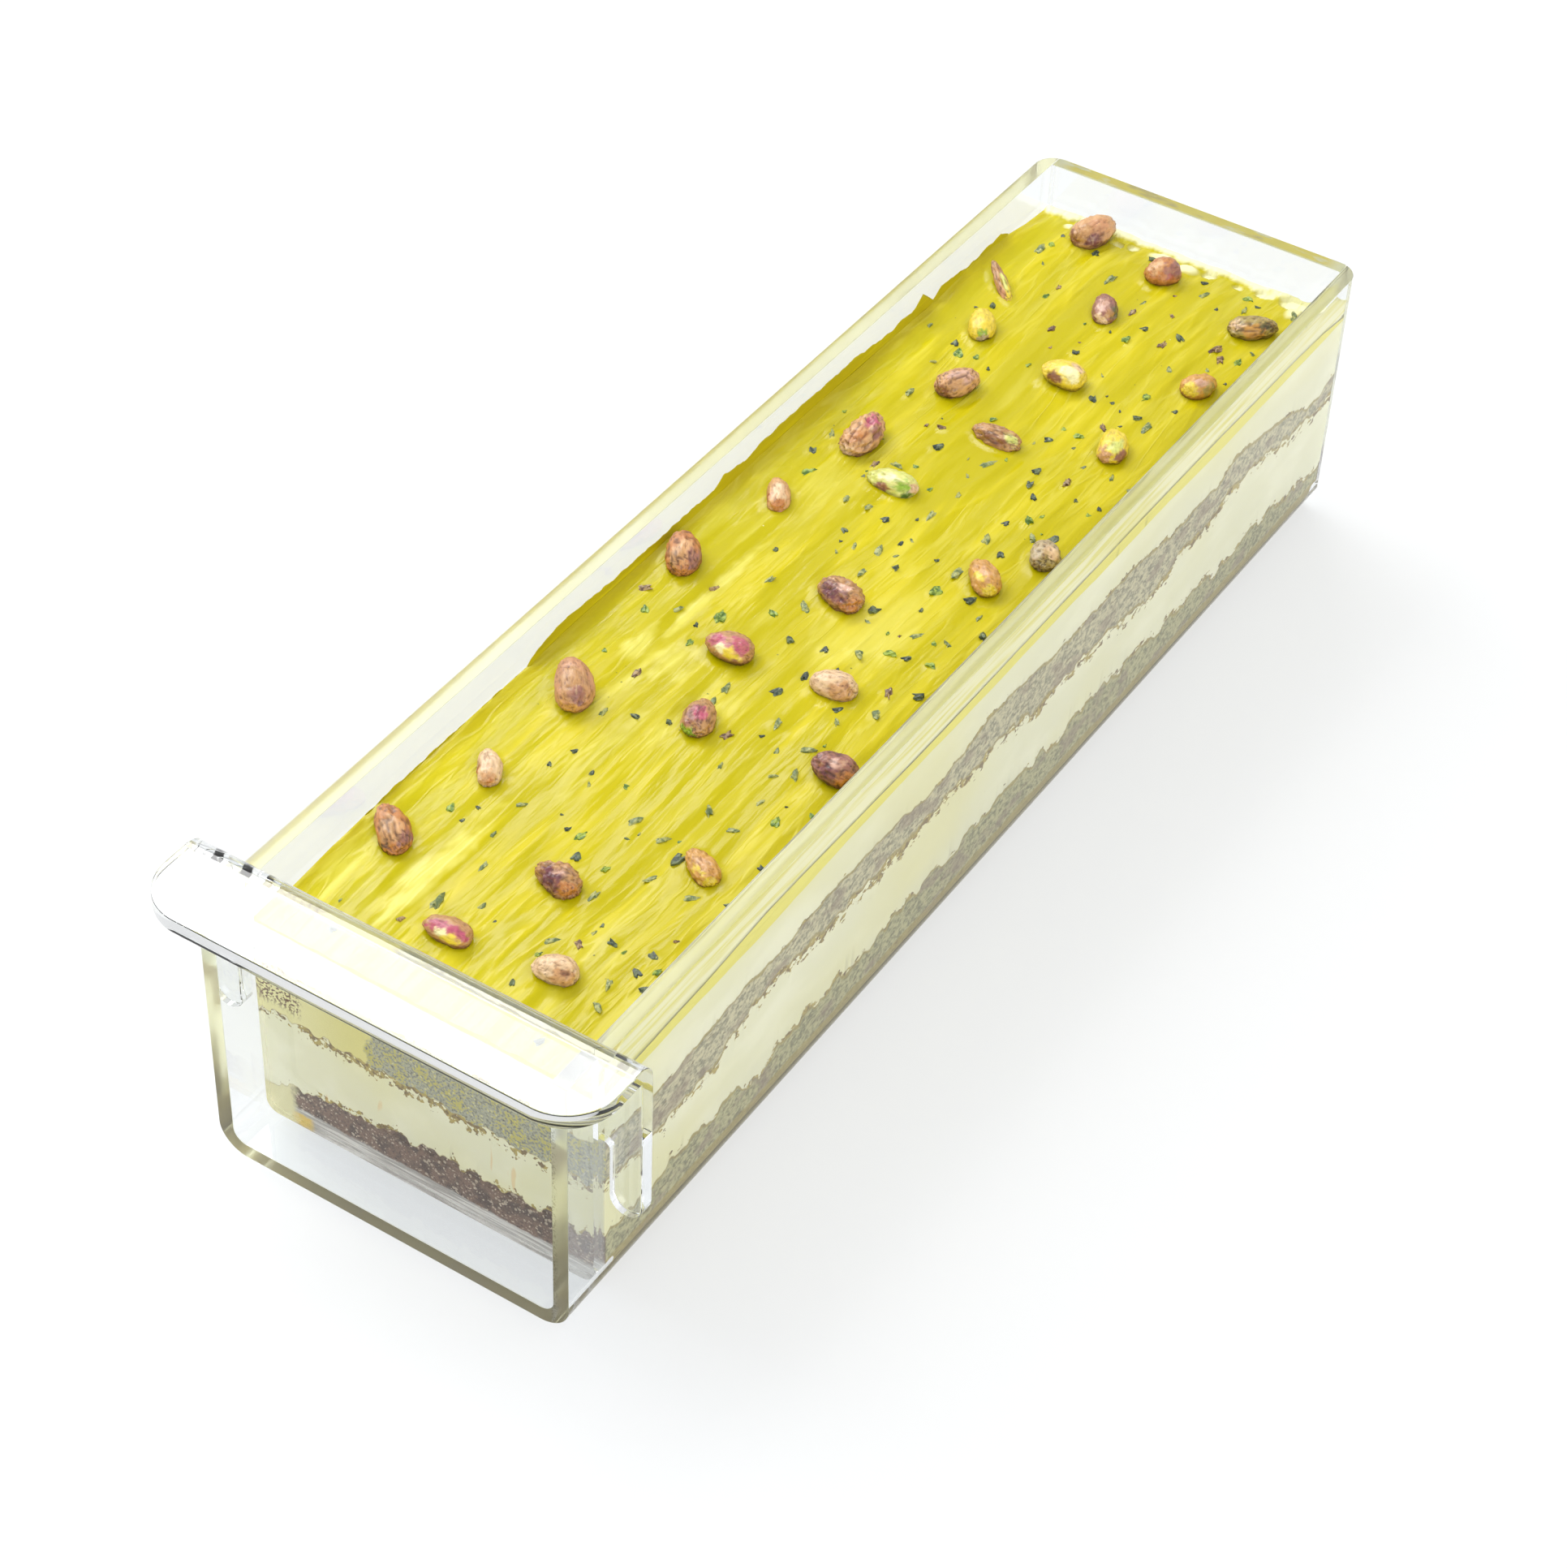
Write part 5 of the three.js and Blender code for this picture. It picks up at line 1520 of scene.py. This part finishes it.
def kernel_colours(look, directions, grain):
    """The skin's colour and how bare the flesh is, for directions from the kernel's middle."""
    _, main, *patches = look
    tone = np.tile(SKINS[main], (len(directions), 1))
    flesh = np.full(len(directions), float(main in BARE))
    seen = np.array([SEEN_RIGHT, SEEN_UP, SEEN_NEAR])
    for number, (skin, right, up, reach) in enumerate(patches):
        near = math.sqrt(max(0.05, 1 - min(0.95, right * right + up * up)))
        centre = np.array([right, up, near])
        centre = centre / np.linalg.norm(centre) @ seen
        away = np.arccos(np.clip(directions @ centre, -1, 1))
        ragged = PATCH_RAGGED * grain.layered(directions * 2.6 + 5.0 * number, 3)
        edge = PATCH_SPREAD * reach
        share = smooth(away + ragged, edge + 0.14, edge - 0.1)
        tone += share[:, None] * (np.array(SKINS[skin]) - tone)
        flesh += share * (float(skin in BARE) - flesh)
    return tone, flesh


# The nut skin's tones: painted shade darkest in its grooves, in its creases and on its underside, and its
# paler raised ridges.
GROOVE_SHADE_SKIN = colour(134, 96, 56)
GROOVE_SHADE_FLESH = colour(186, 178, 80)
RIDGE_PALE = colour(234, 204, 150)
MOTTLED = colour(168, 112, 60)
VEIN_PALE = colour(238, 200, 152)
PEPPERED = colour(96, 58, 40)
CREASE_SHADE = colour(86, 54, 34)
UNDER_SHADE = colour(84, 52, 30)


def kernel_material():
    """Nut skin: wrinkled lengthwise, with painted shade in its grooves and creases and towards the glaze
    below.
    """
    shader = Shader("nut_skin")
    shader.place = shader.kept("skin", "Color")
    flesh = shader.kept("flesh")
    skin = 1 - flesh
    wrinkles = shader.grain(1.1, 4.0, (1, 3.2, 1), 1.0, 0.6)
    mottle = shader.grain(1.9, 3.0, (1, 1.6, 1), 4.0)
    pepper = shader.grain(0.55, 2.0, (1, 1.8, 1), 7.0)
    groove = shader.mix(flesh, GROOVE_SHADE_SKIN, GROOVE_SHADE_FLESH)
    # Painted shade in the grooves of the wrinkles.
    base = shader.kept("tone", "Color").under(wrinkles.rise(0.47, 0.34) * 0.55, groove, "MULTIPLY")
    # Paler along the raised ridges of the wrinkles.
    base = base.under(wrinkles.rise(0.56, 0.7) * 0.28, RIDGE_PALE)
    base = base.under(mottle.rise(0.5, 0.66) * 0.3 * skin, MOTTLED)
    base = base.under(shader.kept("vein") * 0.25, VEIN_PALE)
    base = base.under(pepper.rise(0.66, 0.72) * skin * 0.4, PEPPERED)
    # Painted shade in the creases and pits.
    base = base.under(shader.kept("crease") * 0.7, CREASE_SHADE, "MULTIPLY")
    return shader.done(
        # Painted shade on the underside, towards the glaze.
        Base_Color=base.under(shader.kept("under") * 0.7, UNDER_SHADE, "MULTIPLY"),
        Roughness=0.4 + mottle.rise(0.4, 0.7) * 0.15, Coat_Weight=0.25, Coat_Roughness=0.22,
        Normal=shader.bump(wrinkles * 0.75 + pepper * 0.25, 0.4))


class CAKE_OT_kernels(Operator):
    """Build the whole pistachio kernels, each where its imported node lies"""

    bl_idname = "cake.kernels"
    bl_label = "Build Kernels"

    def execute(self, context):
        material = kernel_material()
        for number, node in enumerate(KERNELS):
            mesh = kernel_mesh(node, LOOKS[number], number, context.scene.cake_kernels.wrinkle)
            finish_piece(add_object("whole_" + node, mesh), material, (node,))
        return {"FINISHED"}


# The stage

LENS = 82.05
SENSOR = 36.0
CAMERA_PLACE = Vector((418.3, -717.7, 758.9)) * MM
CAMERA_YAW = math.radians(31.25)
CAMERA_PITCH = math.radians(42.44)
CAMERA_ROLL = math.radians(-2.69)
TABLE_REACH = 3.0
TABLE_CORNERS = ((-1, -1), (1, -1), (1, 1), (-1, 1))
TABLE_UNDER = -0.4 * MM
TABLE_LIGHT = (0.985, 0.995, 1)
MIDDLE = (0, 0, 0.05)
GRIP = (0, -0.221, 0.099)
# Each softbox's name, place, what it points at, and width and height, in metres.
SOFTBOXES = (
    ("key", (-2.2, 0.4, 2.1), MIDDLE, (1.8, 1.8)),
    ("sheen", (-1.26, 1.281, 2.093), GRIP, (0.92, 0.68)),
    ("fill", (2.9, -2.2, 1.7), MIDDLE, (2.8, 2.8)),
)
LIGHT_PATHS = {
    "use_denoising": True, "max_bounces": 16, "transmission_bounces": 14, "transparent_max_bounces": 16,
    "glossy_bounces": 6, "caustics_refractive": True, "caustics_reflective": True,
    "sample_clamp_indirect": 4.0,
}


def camera_matrix():
    """The camera's place and turn, with the roll that the photograph was taken with."""
    level = Vector((math.cos(CAMERA_YAW), math.sin(CAMERA_YAW), 0))
    ahead = Vector((-level.y, level.x, 0)) * math.cos(CAMERA_PITCH) - Vector((0, 0, math.sin(CAMERA_PITCH)))
    down = ahead.cross(level)
    right = math.cos(CAMERA_ROLL) * level + math.sin(CAMERA_ROLL) * down
    below = math.cos(CAMERA_ROLL) * down - math.sin(CAMERA_ROLL) * level
    turn = Matrix((right, -below, -ahead)).transposed().to_4x4()
    return Matrix.Translation(CAMERA_PLACE) @ turn


def add_softbox(name, place, target, size, power):
    light = bpy.data.lights.new(name, "AREA")
    light.shape = "RECTANGLE"
    light.size, light.size_y = size
    light.energy = power
    lamp = add_object(name, light)
    lamp.location = place
    lamp.rotation_euler = (Vector(target) - Vector(place)).to_track_quat("-Z", "Y").to_euler()


class CAKE_OT_stage(Operator):
    """Set the camera, the light table and the soft studio light"""

    bl_idname = "cake.stage"
    bl_label = "Set Stage"

    def execute(self, context):
        scene = context.scene
        settings = scene.cake_stage
        camera = add_object("camera", bpy.data.cameras.new("camera"))
        camera.data.lens = LENS
        camera.data.sensor_width = SENSOR
        camera.data.sensor_fit = "HORIZONTAL"
        camera.data.clip_start = 0.01
        camera.matrix_world = camera_matrix()
        scene.camera = camera
        corners = [(x * TABLE_REACH, y * TABLE_REACH, TABLE_UNDER) for x, y in TABLE_CORNERS]
        table = add_object("light table", mesh_from("light table", corners, [(0, 1, 2, 3)], is_smooth=False))
        table.data.materials.append(Shader("light_table").done(
            Base_Color=settings.table_colour, Roughness=0.9, Emission_Color=TABLE_LIGHT,
            Emission_Strength=settings.table_glow))

        scene.world = bpy.data.worlds.new("soft white")
        scene.world.use_nodes = True
        background = scene.world.node_tree.nodes["Background"]
        background.inputs["Color"].default_value = (1, 1, 1, 1)
        background.inputs["Strength"].default_value = settings.sky
        for name, place, target, size in SOFTBOXES:
            add_softbox(name + " softbox", place, target, size, getattr(settings, name + "_power"))
        scene.view_settings.view_transform = "Standard"
        scene.view_settings.look = "None"
        for name, value in LIGHT_PATHS.items():
            setattr(scene.cycles, name, value)
        return {"FINISHED"}


class CAKE_PT_panel(Panel):
    bl_idname = "CAKE_PT_panel"
    bl_label = "Pistachio Bar Cake"
    bl_space_type = "VIEW_3D"
    bl_region_type = "UI"
    bl_category = "Bar Cake"

    def draw(self, context):
        scene = context.scene
        for name, operator in SECTIONS:
            box = self.layout.box()
            group = getattr(scene, name, None)
            for prop in getattr(group, "__annotations__", {}):
                box.prop(group, prop)
            box.operator(operator)


SECTIONS = (
    ("cake_stage", "cake.stage"),
    ("cake_tray", "cake.tray"),
    ("cake_layers", "cake.layers"),
    ("cake_glaze", "cake.glaze"),
    ("cake_smears", "cake.smears"),
    ("cake_bits", "cake.bits"),
    ("cake_kernels", "cake.kernels"),
)
GROUPS = {
    "cake_tray": CAKE_PG_tray,
    "cake_layers": CAKE_PG_layers,
    "cake_glaze": CAKE_PG_glaze,
    "cake_smears": CAKE_PG_smears,
    "cake_bits": CAKE_PG_bits,
    "cake_kernels": CAKE_PG_kernels,
    "cake_stage": CAKE_PG_stage,
}
CLASSES = (
    *GROUPS.values(), CAKE_OT_stage, CAKE_OT_tray, CAKE_OT_layers, CAKE_OT_glaze, CAKE_OT_smears,
    CAKE_OT_bits, CAKE_OT_kernels, CAKE_PT_panel,
)


def register():
    for cls in CLASSES:
        bpy.utils.register_class(cls)
    for name, group in GROUPS.items():
        setattr(bpy.types.Scene, name, PointerProperty(type=group))


def unregister():
    for name in GROUPS:
        delattr(bpy.types.Scene, name)
    for cls in reversed(CLASSES):
        bpy.utils.unregister_class(cls)


def main():
    register()
    bpy.ops.cake.stage()
    bpy.ops.cake.tray()
    bpy.ops.cake.layers()
    bpy.ops.cake.glaze()
    bpy.ops.cake.smears()
    bpy.ops.cake.bits()
    bpy.ops.cake.kernels()
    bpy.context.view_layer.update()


if __name__ == "__main__":
    main()
